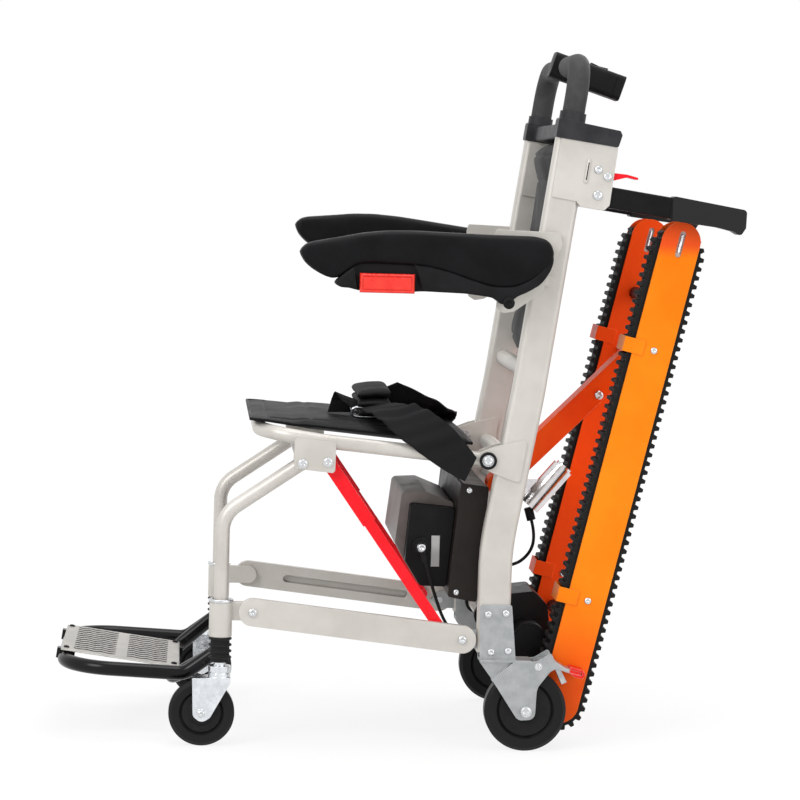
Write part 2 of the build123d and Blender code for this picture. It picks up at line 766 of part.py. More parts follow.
def handle_foams():
    # Foam sleeves over the legs and corners.
    start = collar_high + touch_gap
    line = [(column_x, handle_back, start), (column_x, handle_back, handle_high), (foam_end, handle_back, handle_high)]
    path = FilletPolyline(*line, radius=handle_corner)
    ring = Circle(handle_foam / 2) - Circle(handle_tube / 2)
    foam = sweep(Plane(origin=path @ 0, z_dir=path % 0) * ring, path=path)
    return pair(top_frame * foam)


def box_frame():
    # Control box frame: its origin on the handle's cross tube, its length to the rear.
    centre = (top_frame * Pos(0, handle_back, handle_high)).position
    return Pos(0, centre.Y, centre.Z) * Rot(-box_tilt, 0, 0)


def control_box():
    # Control box clamped on the handle's cross tube, sloping down to the rear.
    body = Pos(0, (box_long - 22) / 2, 0) * Box(box_wide, box_long + 22, box_high)
    body = fillet(body.edges().filter_by(Axis.Y), 8)
    body -= Pos(0, box_long - 14, 0) * (Box(box_wide + 2, 1.2, box_high + 2) - Box(box_wide - 2, 3, box_high - 2))
    body -= rod((0, 0), -box_wide, box_wide, handle_tube)
    body -= Pos(0, rocker_at, box_high / 2) * Box(rocker_wide + 2 * touch_gap, rocker_long + 2, 2 * rocker_deep)
    body -= rod((rocker_at, box_high / 2), -rocker_wide / 2 - 3, rocker_wide / 2 + 3, 3 + 2 * run_gap)
    return box_frame() * body


def control_rocker():
    # Up and down rocker in the top of the control box, on its own pin.
    half = rocker_long / 2
    top = box_high / 2
    key = plate([(rocker_at - half, top - 2), (rocker_at + half, top - 2), (rocker_at + half, top + 3),
                 (rocker_at, top + 1.6), (rocker_at - half, top + 3)], -rocker_wide / 2, rocker_wide)
    key += rod((rocker_at, top), -rocker_wide / 2 - 2.7, rocker_wide / 2 + 2.7, 3)
    return box_frame() * key


def handle_rings():
    # Clamp rings on the handle's cross tube beside the foam sleeves.
    rings = []
    for x in (-foam_end + 6, foam_end - 6):
        ring = rod((0, 0), x - 5, x + 5, handle_tube + 7) - rod((0, 0), x - 6, x + 6, handle_tube)
        rings.append(top_frame * Pos(0, handle_back, handle_high) * ring)
    return rings


def lift_bar():
    # Square bar between the side plates.
    start = bar_pivot[0] - 14
    half_wide = column_wide / 2 - touch_gap
    body = Pos(column_x, start + bar_long / 2, bar_pivot[1]) * Box(2 * half_wide, bar_long, bar_high)
    body = fillet(body.edges().filter_by(Axis.Y), 3)
    body -= rod(bar_pivot, column_in - 5, column_out + 5, pin + 2 * run_gap)
    return top_frame * body


def lift_grip():
    # Moulded grip, thinner towards its end and turned down at the lip.
    top = bar_pivot[1] + bar_high / 2
    low = bar_pivot[1] - bar_high / 2
    shape = [(165, top + 2.5), (279, top), (282, -87), (276, -100), (264, -95), (240, low - 1), (165, low - 2.5)]
    grip = plate(shape, column_x - grip_wide / 2, grip_wide, [4, 6, 5, 5, 8, 20, 4])
    start = bar_pivot[0] - 14
    grip -= Pos(column_x, start + bar_long / 2, bar_pivot[1]) * Box(column_wide - 2 * touch_gap, bar_long, bar_high)
    return top_frame * grip


def lift_release():
    # Red tab that frees the lift bar.
    v, u = release_pivot
    half_wide = column_wide / 2 - touch_gap - 2
    shape = [(v - 6, u - 5), (v + 6, u - 6), (v + 30, u + 4), (v + 47, u + 3), (v + 47, u + 6.5),
             (v + 29, u + 8.5), (v + 4, u + 7), (v - 7, u + 5)]
    tab = plate(shape, column_x - half_wide, 2 * half_wide, [3, 2, 8, 1, 1, 10, 3, 3])
    tab -= rod(release_pivot, column_in, column_out, 8 + 2 * run_gap)
    return top_frame * tab


def brake_lever():
    # Foot brake between the bracket's cheeks: a lever with its shoe over the tyre.
    y, z = brake_pivot
    inner = inner_sheet_x + sheet + 1.5
    lever = [(y - 8, z + 2), (y, z + 8), (38, 142), (60, 128), (84, 121.5), (84, 117), (60, 122), (48, 127),
             (y + 6, z - 7)]
    body = plate(lever, inner, brake_wide, [3, 5, 6, 8, 1, 1, 6, 3, 3])
    body += plate([(43, 129), (51, 129), (63, 106), (55, 102.5)], inner + 4, brake_wide - 8)
    return body - rod(brake_pivot, inner - 1, inner + brake_wide + 1, small_pin + 2 * run_gap)


def brake_pedal():
    inner = inner_sheet_x + sheet
    tip = [(66, 126.6), (85, 121.5), (85, 117), (66, 120.9), (74, 114.5), (86, 112), (91, 118), (87, 125), (68, 130)]
    return plate(tip, inner, brake_wide + 3)


def armrest():
    # Upper pad and lower shell, parted along a wavy seam.
    top = [(-362, 749), (-346, 766), (-313, 776), (-250, 785), (-150, 787), (6, 784), (21, 774), (20, 749),
           (9, 722), (-20, 702), (-53, 694), (-115, 701), (-180, 726), (-240, 729), (-290, 722), (-320, 728)]
    low = [(-346, 727), (-320, 727.5), (-290, 721.5), (-240, 728.5), (-180, 725.5), (-115, 700.5), (-53, 693.5),
           (-36, 696), (-38, 682), (-49, 673), (-60, 682), (-62, 693), (-104, 697), (-164, 693), (-209, 697),
           (-296, 694), (-312, 714)]
    pad = plate(top, arm_in, arm_wide, [8, 14, 30, 60, 60, 10, 10, 20, 20, 24, 30, 40, 40, 60, 20, 6])
    shell = plate(low, arm_in, arm_wide, [3, 6, 20, 60, 40, 40, 2, 2, 5, 9, 5, 4, 20, 30, 20, 8, 10])
    pocket = Box(2 * button_deep, button_long + 2 * touch_gap, button_high + 2 * touch_gap)
    shell -= Pos(arm_in + arm_wide, -231, 709) * pocket
    shell -= rod(arm_pivot, arm_in - 1, arm_in + arm_wide + 1, pin + 2 * run_gap)
    return [pad, shell]


def arm_button():
    # Red release bar in the side of the lower shell.
    depth = button_deep + 5 - button_travel
    body = Pos(arm_in + arm_wide + 5 - depth / 2, -231, 709) * Box(depth, button_long, button_high)
    return chamfer(body.faces().sort_by(Axis.X)[-1].edges(), 3)


def arm_bolt():
    bolt = rod(arm_pivot, arm_mount_x, arm_in + arm_wide, pin)
    bolt += rod(arm_pivot, arm_in + arm_wide, arm_in + arm_wide + 3, 16)
    return bolt


def right_side(part):
    # Mirrors an armrest piece and tips it up to the right side's resting angle.
    turn = Pos(0, *arm_pivot) * Rot(arm_tilt_right, 0, 0) * Pos(0, -arm_pivot[0], -arm_pivot[1])
    return turn * mirrored(part)


def belt_profile():
    # Toothed outline of the belt: teeth spread evenly along two straight runs and two half turns.
    length = 2 * belt_run + 2 * pi * belt_root
    count = round(length / belt_pitch)
    step = length / count

    def spot(along, out):
        along = along % length
        r = belt_root + out
        turn = pi * belt_root
        if along < belt_run:
            return (r, along)
        if along < belt_run + turn:
            a = (along - belt_run) / belt_root
            return (r * cos(a), belt_run + r * sin(a))
        if along < 2 * belt_run + turn:
            return (-r, 2 * belt_run + turn - along)
        a = (along - 2 * belt_run - turn) / belt_root
        return (-r * cos(a), -r * sin(a))

    points = []
    high = belt_tip - belt_root
    for tooth in range(count):
        middle = tooth * step
        points.append(spot(middle - tooth_foot / 2, 0))
        points.append(spot(middle - tooth_top / 2, high))
        points.append(spot(middle + tooth_top / 2, high))
        points.append(spot(middle + tooth_foot / 2, 0))
    return points


def stadium(run, radius):
    # Straight-sided outline with round ends, from the track pivot up.
    return Plane.YZ * Pos(0, run / 2) * Rot(0, 0, 90) * SlotCenterToCenter(run, 2 * radius)


def track_belt():
    inner = extrude(stadium(belt_run, belt_inner), belt_wide)
    outer = extrude(outline(belt_profile()), belt_wide)
    return track_frame * Pos(track_x - belt_wide / 2, 0, 0) * (outer - inner)


def track_covers():
    # Orange cover plates on both sides of a belt, with clip tabs and a tension slot.
    parts = []
    for x in (track_x + track_inside / 2, track_x - track_inside / 2 - plate_sheet):
        cover = extrude(stadium(plate_run, plate_half), plate_sheet)
        cover -= Pos(0, 0, plate_run - 20) * extrude(stadium(32, 4.5), plate_sheet)
        cover -= rod((0, 0), -1, plate_sheet + 1, drive_shaft + 2 * run_gap)
        parts.append(Pos(x, 0, 0) * cover)
    tabs = []
    for run in tab_runs:
        left = track_x - track_inside / 2 - plate_sheet
        right = track_x + track_inside / 2 + plate_sheet
        wrap_y = -belt_tip - 2
        guard = Pos(track_x, wrap_y - 1, run) * Box(right - left + 4, 2, tab_size)
        for x in (left - 1, right + 1):
            guard += Pos(x, (wrap_y - plate_half + 16) / 2, run) * Box(2, abs(wrap_y + plate_half - 16), tab_size)
        tabs.append(guard)
    return [track_frame * part for part in parts + tabs]


def track_rail():
    # Slide rail inside the belt with the fork that holds the idler's pin.
    low = 40
    high = belt_run - 40
    rail = Pos(track_x, 0, (low + high) / 2) * Box(rail_wide, 2 * rail_half, high - low)
    rail -= Pos(track_x, 0, (low + high) / 2) * Box(rail_wide - 8, 2 * rail_half - 10, high - low + 2)
    for side in (-1, 1):
        rail += Pos(track_x + side * (rail_wide / 2 + 1.5), 0, belt_run - 18) * Box(3, 24, 80)
    web = track_inside / 2 - rail_wide / 2
    for side in (-1, 1):
        for z in (120, 350, 580):
            rail += Pos(track_x + side * (rail_wide / 2 + web / 2), 0, z) * Box(web, 30, 20)
    rail -= rod((0, belt_run), track_x - 40, track_x + 40, idler_pin + 2 * run_gap)
    return track_frame * rail


def track_cross_shafts():
    half = track_x - track_inside / 2 - plate_sheet
    return [track_frame * rod((0, run), -half, half, track_cross) for run in track_cross_runs]


def pulley(bore):
    # Ribbed pulley: rim, thin web and hub.
    rim = belt_inner - pulley_gap
    half = belt_wide / 2 - 6
    profile = [(bore, -half), (bore + 7, -half), (bore + 7, -4), (rim - 5, -4), (rim - 5, -half), (rim, -half),
               (rim, half), (rim - 5, half), (rim - 5, 4), (bore + 7, 4), (bore + 7, half), (bore, half)]
    face = Plane.XZ * make_face(Polyline(*profile, close=True))
    return Rot(0, 90, 0) * revolve(face, Axis.Z)


def drive_shaft_parts():
    end = track_x + track_inside / 2 + plate_sheet + 2
    shaft = rod(track_pivot, -end, end, drive_shaft)
    wheels = [Pos(side * track_x, *track_pivot) * pulley(drive_shaft / 2) for side in (-1, 1)]
    return [shaft] + wheels


def idlers():
    parts = []
    for side in (-1, 1):
        place = track_frame * Pos(side * track_x, 0, belt_run)
        half = track_inside / 2 - 2
        parts.append(place * (pulley(idler_pin / 2) + rod((0, 0), -half, half, idler_pin)))
    return parts


def stay_arm():
    # Orange channel with its web on top, and a cross pin that runs between the tracks.
    dy = stay_end[0] - stay_pivot[0]
    dz = stay_end[1] - stay_pivot[1]
    long = hypot(dy, dz)
    turn = degrees(atan2(dz, dy))
    half = stay_wide / 2
    side = SlotCenterToCenter(long, stay_high)
    plane = Plane.YZ * Pos(long / 2, 0)
    body = Pos(-half, 0, 0) * extrude(plane * side, stay_wide)
    cavity = Box(stay_wide - 2 * stay_sheet, long + stay_high + 2, stay_high)
    body -= Pos(0, long / 2, -stay_sheet) * cavity
    body += rod((0, 0), -half, half, stay_pin + 10)
    body -= rod((0, 0), -half - 1, half + 1, stay_pin + 2 * run_gap)
    body += rod((long, 0), -half, half, stay_pin + 8)
    reach = track_x - track_inside / 2 - plate_sheet - 0.5
    body += rod((long, 0), -reach, reach, stay_pin)
    for side_x in (-1, 1):
        body += rod((long * 0.72, -7), side_x * half, side_x * (half + bolt_proud), 12)
    return Pos(0, stay_pivot[0], stay_pivot[1]) * Rot(turn, 0, 0) * body


def drive_housing():
    # Gearbox block round the drive shaft with a motor on each side.
    shape = [(-37, 214), (28, 222), (50, 200), (56, 150), (78, 92), (82, 56), (62, 42), (36, 48), (2, 96), (-37, 120)]
    body = plate(shape, -gear_half, 2 * gear_half, [8, 8, 10, 20, 12, 10, 10, 12, 20, 8])
    body -= rod((column_depth(cross_heights[0]), cross_heights[0]), -200, 200, cross_tube)
    body -= rod(track_pivot, -gear_half - 1, gear_half + 1, drive_shaft + 2 * run_gap)
    for side in (-1, 1):
        a = side * gear_half
        b = side * (gear_half + motor_long)
        body += rod(motor_at, a, b, motor_round)
        body += rod(motor_at, b, b + side * 4, motor_round - 12)
    return body


def housing_feet():
    # Steel clamps that carry the gearbox on the lowest cross tube.
    at = (column_depth(cross_heights[0]), cross_heights[0])
    feet = []
    for side in (-1, 1):
        clamp = rod(at, side * 70, side * 84, cross_tube + 10) - rod(at, side * 70, side * 84, cross_tube)
        feet.append(clamp)
    return feet


def motor_frame():
    # Frame of the lift cylinder: its origin at the lower end, its length upwards.
    turn = degrees(atan2(lift_high[1] - lift_low[1], lift_high[0] - lift_low[0]))
    return Pos(lift_x, *lift_low) * Rot(turn, 0, 0)


def along(start, end, across):
    # Round bar along the depth axis of a frame.
    return Pos(0, (start + end) / 2, 0) * Cylinder(across / 2, end - start, rotation=(90, 0, 0))


def stay_motor():
    # Bright cylinder behind the seat, hung from the stay arm's shaft by a clamp plate.
    long = hypot(lift_high[0] - lift_low[0], lift_high[1] - lift_low[1])
    body = along(0, long, lift_round) + along(long, long + 4, lift_round - 8)
    body = motor_frame() * body
    y, z = stay_pivot
    clamp = plate([(y - 12, z - 6), (y - 6, z + 12), (34, 400), (28, 372)], lift_x - 4, 8, [6, 6, 2, 2])
    return body + clamp - rod(stay_pivot, lift_x - 10, lift_x + 10, stay_pin)


def cable_boots():
    # Rubber boots at the charging plug and at the lower end of the cylinder.
    boot = Pos(lift_x, *boot_at) * Rot(boot_tilt, 0, 0) * Cylinder(7, boot_long)
    boot -= motor_frame() * along(0, 40, lift_round)
    plug = Pos(plug_x + 14, *plug_at) * Rot(boot_tilt, 0, 0) * Pos(0, 0, -boot_long / 2 - 3) * Cylinder(5, boot_long)
    return [boot, plug - rod(plug_at, plug_x, plug_x + 30, plug_round)]


def lead_radii(points):
    # Largest bends that the straight runs allow, 0.45 of the shorter run over the tangent of half the turn.
    spots = [Vector(*p) for p in points]
    radii = []
    for before, at, after in zip(spots, spots[1:], spots[2:]):
        run = min((at - before).length, (after - at).length)
        turn = radians((at - before).get_angle(after - at))
        radii.append(round(0.45 * run / tan(turn / 2), 1))
    return radii


def cable(name, points):
    radii = lead_radii(points)
    path = FilletPolyline(*points, radius=radii)
    print(name, "radii", radii, "length", round(path.length))
    return sweep(Plane(origin=path @ 0, z_dir=path % 0) * Circle(lead / 2), path=path)


def battery_lead():
    # Lead from the charging plug down and inwards to the gearbox.
    boot = Pos(plug_x + 14, *plug_at) * Rot(boot_tilt, 0, 0)
    start = (boot * Pos(0, 0, -boot_long - 3)).position
    under = (boot * Pos(0, 0, -boot_long - 45)).position
    return cable("battery_lead", [tuple(start), tuple(under), (plug_x + 6, -120, 180), (112, -88, 150),
                                  (gear_half, -37, 148)])


def motor_lead():
    # Lead from the cylinder's boot in a loop behind the column to the electronics housing.
    boot = Pos(lift_x, *boot_at) * Rot(boot_tilt, 0, 0)
    start = (boot * Pos(0, 0, -boot_long / 2)).position
    under = (boot * Pos(0, 0, -boot_long / 2 - 24)).position
    return cable("motor_lead", [tuple(start), tuple(under), (lift_x, 20, 282), (lift_x, -10, 259),
                                (lift_x, -71.9, 256)])


def electronics_housing():
    # Black sheet housing between the columns, hollow inside.
    shape = [(-104, 404), (-61, 399), (-75, 221), (-120, 229)]
    body = plate(shape, -housing_half, 2 * housing_half, 4)
    inside = [(-100.5, 400), (-64, 396), (-78, 224.5), (-116, 231.5)]
    return body - plate(inside, -housing_half + housing_wall, 2 * (housing_half - housing_wall))


def battery_case():
    shape = [(-189, 381), (-152, 383), (-108.5, 366), (-120, 238), (-160, 238), (-183, 274), (-198, 303)]
    return plate(shape, -battery_half, battery_half + unit_from, [8, 8, 5, 4, 6, 8, 8])


def control_unit():
    shape = [(-177, 366), (-109, 360), (-120, 239), (-160, 240), (-184, 279)]
    return plate(shape, unit_from, unit_to - unit_from, [6, 4, 4, 6, 6])


def charge_plug():
    body = rod(plug_at, plug_x, plug_x + 6, plug_round + 8)
    return body + rod(plug_at, plug_x + 6, plug_x + 22, plug_round)


footrest = footrest_frame()
bars = [lift_bar(), lift_grip()]
plan_middle = (footrest.bounding_box().min.Y + bars[1].bounding_box().max.Y) / 2
shift = Pos(0, -plan_middle, 0)
print("plan middle", round(plan_middle, 3))

save("columns", pair(column()))
save("cross_members", cross_members())
save("top_caps", pair(top_cap()), top_crossbar())
plates = side_plates() + hinge_plates() + [armrest_mount()]
save("frame_plates", plates, [mirrored(p) for p in plates])
save("rear_brackets", pair(rear_bracket()))
bolts = chassis_bolts() + [arm_bolt()]
save("chassis_bolts", bolts, [mirrored(p) for p in bolts])

sided = {
    "rear_wheel": rear_wheel_left(),
    "caster_wheel": caster_wheel_left(),
    "caster_fork": [caster_fork()],
    "link_bar": [link_bar()],
    "lock_strut": [lock_strut()],
    "lift_bar": bars,
    "lift_release": [lift_release()],
    "brake": [brake_lever(), brake_pedal()],
}
for name, solids in sided.items():
    save(name + "_left", solids)
    save(name + "_right", [mirrored(p) for p in solids])
save("armrest_left", armrest())
save("armrest_right", [right_side(p) for p in armrest()])
save("arm_button_left", arm_button())
save("arm_button_right", right_side(arm_button()))

save("front_legs", pair(front_leg()))
save("leg_sleeves", pair(leg_sleeve()))
save("leg_collars", pair(leg_collar()), pair(footrest_pin()))
save("footrest_frame", footrest, tread_clips())
save("tread_plate", tread_plate())

save("seat_frame", seat_frame())
sides = gussets()
save("seat_gussets", sides, [mirrored(p) for p in sides])
bolts = fold_bolts()
save("fold_bolts", bolts, [mirrored(p) for p in bolts])
save("seat_pad", seat_pad())
save("lap_belt", lap_belt())
save("belt_rings", belt_rings())
save("backrest_pad", backrest_pad())
save("backrest_shell", backrest_shell())

save("push_handle", push_handle())
save("handle_foam", handle_foams())
save("handle_rings", handle_rings())
save("control_box", control_box())
save("control_rocker", control_rocker())

save("track_belts", pair(track_belt()))
covers = track_covers()
save("track_covers", covers, [mirrored(p) for p in covers])
save("track_rails", pair(track_rail()), track_cross_shafts())
save("drive_shaft", drive_shaft_parts())
save("idler_pulleys", idlers())
save("stay_arm", stay_arm())
save("drive_housing", drive_housing(), housing_feet())
save("stay_motor", stay_motor())

save("electronics_housing", electronics_housing())
save("battery_case", battery_case())
save("control_unit", control_unit())
save("cable_fittings", charge_plug(), cable_boots())
save("battery_lead", battery_lead())
save("motor_lead", motor_lead())
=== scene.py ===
# Looks, light and camera of a stair climbing wheelchair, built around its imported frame.
import math

import bmesh
import bpy
import numpy as np
from mathutils import Matrix, Vector


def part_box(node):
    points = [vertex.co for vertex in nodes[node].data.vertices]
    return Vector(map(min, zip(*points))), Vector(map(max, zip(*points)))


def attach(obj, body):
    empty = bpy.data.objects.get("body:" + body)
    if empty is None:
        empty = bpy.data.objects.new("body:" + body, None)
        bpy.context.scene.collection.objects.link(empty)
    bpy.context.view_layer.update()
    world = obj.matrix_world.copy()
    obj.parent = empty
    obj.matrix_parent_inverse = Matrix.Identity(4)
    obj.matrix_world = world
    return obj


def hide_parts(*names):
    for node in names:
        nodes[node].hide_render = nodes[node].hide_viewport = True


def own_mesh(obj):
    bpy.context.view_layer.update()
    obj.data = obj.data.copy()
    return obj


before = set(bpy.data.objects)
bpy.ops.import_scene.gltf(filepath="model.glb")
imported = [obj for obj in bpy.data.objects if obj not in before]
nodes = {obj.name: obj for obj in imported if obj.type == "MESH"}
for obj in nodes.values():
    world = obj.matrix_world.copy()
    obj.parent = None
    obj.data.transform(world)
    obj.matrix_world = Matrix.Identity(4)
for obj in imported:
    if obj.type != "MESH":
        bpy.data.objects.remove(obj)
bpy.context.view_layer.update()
scene = bpy.context.scene
wheelLow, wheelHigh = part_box("rear_wheel_left")
axleDepth = (wheelLow.y + wheelHigh.y) / 2  # the rear axle, from which every depth here is measured
topFrame = {"origin": (46.5, 930.0), "lean": math.atan2(56.0, 390.0)}  # along the leaning columns
trackFrame = {"origin": (57.0, 66.0), "lean": math.radians(13.01)}  # along the parked tracks
print("frame loaded, rear axle at depth", round(axleDepth, 4))


def toFrame(points):
    # millimetres from the rear axle and the floor, to the frame's metres
    return np.asarray(points, float) / 1000 + np.array([0, axleDepth, 0])


def toSpot(x, y, z):
    # one such point as a plain tuple
    return tuple(toFrame([(x, y, z)])[0])


def joined(x, y, z):
    # three coordinates, stretched to one shape, as one grid of points
    return np.stack(np.broadcast_arrays(x, y, z), -1)


def leaned(points, place):
    # (x, depth, up) in a part that leans back, to millimetres from the axle: a turn about X
    x, v, u = np.moveaxis(np.asarray(points, float), -1, 0)
    c, s = math.cos(place["lean"]), math.sin(place["lean"])
    return joined(x, place["origin"][0] + v * c + u * s, place["origin"][1] - v * s + u * c)


def addObject(name, data):
    item = bpy.data.objects.new(name, data)
    scene.collection.objects.link(item)
    return item


# camera, at the photograph's angle
cameraSet = {
    "spot": (4726.0, -512.0, 860.4),
    "toward": (-0.99502, 0.06820, -0.07268),
    "up": (-0.07434, -0.02226, 0.99698),
    "lens": 134.9,
    "sensor": 36.0,
}


def makeCamera():
    toward = Vector(cameraSet["toward"]).normalized()
    side = toward.cross(Vector(cameraSet["up"])).normalized()
    data = bpy.data.cameras.new("camera")
    data.lens = cameraSet["lens"]
    data.sensor_width = cameraSet["sensor"]
    item = addObject("camera", data)
    item.matrix_world = Matrix((side, side.cross(toward), -toward)).transposed().to_4x4()
    item.matrix_world.translation = toSpot(*cameraSet["spot"])
    scene.camera = item


makeCamera()
print("camera set")

# cables: routes of the two short leads, from their rubber boots into the housings
leadSet = {
    "batteryLead": {"node": "battery_lead", "length": 0.238, "thick": 0.005, "points": [
        (164, -153.7, 279.9), (164, -142.1, 239.5), (156, -120, 180), (112, -88, 150), (58, -37, 148)]},
    "motorLead": {"node": "motor_lead", "length": 0.152, "thick": 0.005, "points": [
        (62, 19.8, 335.4), (62, 26.4, 312.3), (62, 20, 282), (62, -10, 259), (62, -71.9, 256)]},
}
pointRadius = 0.001  # keeps the curve's bounding box tight, and the bevel makes up for it


def makeLead(name, spec):
    points = toFrame(spec["points"])
    curve = bpy.data.curves.new(name, "CURVE")
    curve.dimensions = "3D"
    line = curve.splines.new("NURBS")
    line.points.add(len(points) - 1)
    line.points.foreach_set("co", np.c_[points, np.ones(len(points))].ravel())
    line.order_u = 3
    line.use_endpoint_u = True
    line.resolution_u = 16
    line.points.foreach_set("radius", np.full(len(points), pointRadius))
    curve.bevel_depth = spec["thick"] / 2 / pointRadius
    curve.bevel_resolution = 5
    curve.use_fill_caps = True
    item = addObject(name, curve)
    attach(item, "chassis")
    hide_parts(spec["node"])
    return item


leads = [makeLead(name, spec) for name, spec in leadSet.items()]
print("cables made")

# materials
noiseRange = (0.35, 0.65)  # noise values run about so far
edgeSet = {"radius": 1.2, "agree": (0.995, 0.86), "wearAndHighlight": 0.5}  # mm, where the pale edge (wear, and on the red parts a painted highlight) starts and is full, its share
shaderSockets = {"metal": ("Metallic",), "gleam": ("Specular IOR Level",),
                 "coat": ("Coat Weight", "Coat Roughness")}


def linear(code):
    # sRGB hex to linear colour
    parts = np.array([int(code[i:i + 2], 16) for i in (1, 3, 5)]) / 255
    parts = np.where(parts <= 0.04045, parts / 12.92, ((parts + 0.055) / 1.055) ** 2.4)
    return (*parts.tolist(), 1.0)


def addNode(tree, kind, values=None, links=None, **settings):
    # one shader node with its settings, its socket values and what feeds it
    item = tree.nodes.new("ShaderNode" + kind)
    for key, value in settings.items():
        setattr(item, key, value)
    for key, value in (values or {}).items():
        item.inputs[key].default_value = value
    for key, source in (links or {}).items():
        tree.links.new(source, item.inputs[key])
    return item


def mixed(tree, share, first, second):
    # blends two colour sockets or values by a share
    item = addNode(tree, "Mix", data_type="RGBA")
    for key, source in ((0, share), (6, first), (7, second)):
        if isinstance(source, bpy.types.NodeSocket):
            tree.links.new(source, item.inputs[key])
        else:
            item.inputs[key].default_value = source
    return item.outputs[2]


def newMaterial(name):
    made = bpy.data.materials.new(name)
    made.use_nodes = True
    return made, made.node_tree, made.node_tree.nodes["Principled BSDF"]


def finish(name, look):
    # Mottled colour, roughness that follows the mottling, fine relief, rubbed edges that on the red parts are a
    # painted highlight, and zones of other colour, some of them painted shade.
    # A zone fades in by the distance from its centre along the axes it counts.
    made, tree, shader = newMaterial(name)
    place = addNode(tree, "TexCoord").outputs["Object"]
    mottle = addNode(tree, "TexNoise", {"Scale": 1000 / look["mottle"], "Detail": 4, "Roughness": 0.6},
                     {"Vector": place}).outputs["Fac"]
    ramp = addNode(tree, "ValToRGB", links={"Fac": mottle})
    for stop, spot, tint in zip(ramp.color_ramp.elements, noiseRange, look["colours"]):
        stop.position = spot
        stop.color = linear(tint)
    colour = ramp.outputs["Color"]

    def ranged(source, start, end, low=0.0, high=1.0):
        limits = {"From Min": start, "From Max": end, "To Min": low, "To Max": high}
        return addNode(tree, "MapRange", limits, {"Value": source}).outputs["Result"]

    rough = ranged(mottle, *noiseRange, *look["rough"])
    for centre, axes, (start, end), tint in look.get("zones", ()):
        away = addNode(tree, "VectorMath", {1: centre}, {0: place}, operation="SUBTRACT").outputs[0]
        flat = addNode(tree, "VectorMath", {1: axes}, {0: away}, operation="MULTIPLY").outputs[0]
        reach = addNode(tree, "VectorMath", links={0: flat}, operation="LENGTH").outputs["Value"]
        colour = mixed(tree, ranged(reach, start, end), colour, linear(tint))
    grain, depth = look["grain"]
    if look.get("cells"):
        relief = addNode(tree, "TexVoronoi", {"Scale": 1000 / grain, "Randomness": 1.0}, {"Vector": place},
                         feature="SMOOTH_F1").outputs["Distance"]
    else:
        drawn, detail = place, 3
        if look.get("brushed"):
            drawn = addNode(tree, "Mapping", {"Scale": look["brushed"]}, {"Vector": place}).outputs["Vector"]
            detail = 2
        relief = addNode(tree, "TexNoise", {"Scale": 1000 / grain, "Detail": detail},
                         {"Vector": drawn}).outputs["Fac"]
    bump = addNode(tree, "Bump", {"Strength": 1.0, "Distance": depth / 1000}, {"Height": relief})
    if "edge" in look:
        rounded = addNode(tree, "Bevel", {"Radius": edgeSet["radius"] / 1000}, samples=4).outputs["Normal"]
        true = addNode(tree, "NewGeometry").outputs["Normal"]
        agree = addNode(tree, "VectorMath", links={0: rounded, 1: true},
                        operation="DOT_PRODUCT").outputs["Value"]
        # the pale edge tint: wear, and on the red parts a painted highlight
        edgeWearAndHighlight = ranged(agree, *edgeSet["agree"], high=look.get("wearAndHighlight", edgeSet["wearAndHighlight"]))
        colour = mixed(tree, edgeWearAndHighlight, colour, linear(look["edge"]))
        tree.links.new(rounded, bump.inputs["Normal"])
    for source, socket in ((colour, "Base Color"), (rough, "Roughness"), (bump.outputs["Normal"], "Normal")):
        tree.links.new(source, shader.inputs[socket])
    for key, sockets in shaderSockets.items():
        for socket, value in zip(sockets, np.ravel(look.get(key, ())).tolist()):
            shader.inputs[socket].default_value = value
    return made


def weave(name, look):
    # Woven webbing on the piece's own UV map, in metres: two sets of diagonal ribs and a little fuzz.
    made, tree, shader = newMaterial(name)
    place = addNode(tree, "TexCoord").outputs["UV"]
    ribs = []
    for turn in look["turns"]:
        turned = addNode(tree, "Mapping", {"Rotation": (0, 0, turn)}, {"Vector": place}).outputs[0]
        ribs.append(addNode(tree, "TexWave", {"Scale": 320 / look["thread"], "Distortion": 0.4, "Detail": 1.0},
                            {"Vector": turned}, wave_type="BANDS", bands_direction="X").outputs["Fac"])
    both = addNode(tree, "Math", links={0: ribs[0], 1: ribs[1]}, operation="MAXIMUM").outputs[0]
    fuzz = addNode(tree, "TexNoise", {"Scale": 260, "Detail": 4}, {"Vector": place}).outputs["Fac"]
    shade = mixed(tree, both, linear(look["colours"][0]), linear(look["colours"][1]))
    tree.links.new(mixed(tree, fuzz, shade, linear(look["colours"][2])), shader.inputs["Base Color"])
    shader.inputs["Roughness"].default_value = look["rough"]
    shader.inputs["Specular IOR Level"].default_value = 0.2
    bump = addNode(tree, "Bump", {"Strength": 1.0, "Distance": look["depth"] / 1000}, {"Height": both})
    tree.links.new(bump.outputs["Normal"], shader.inputs["Normal"])
    return made


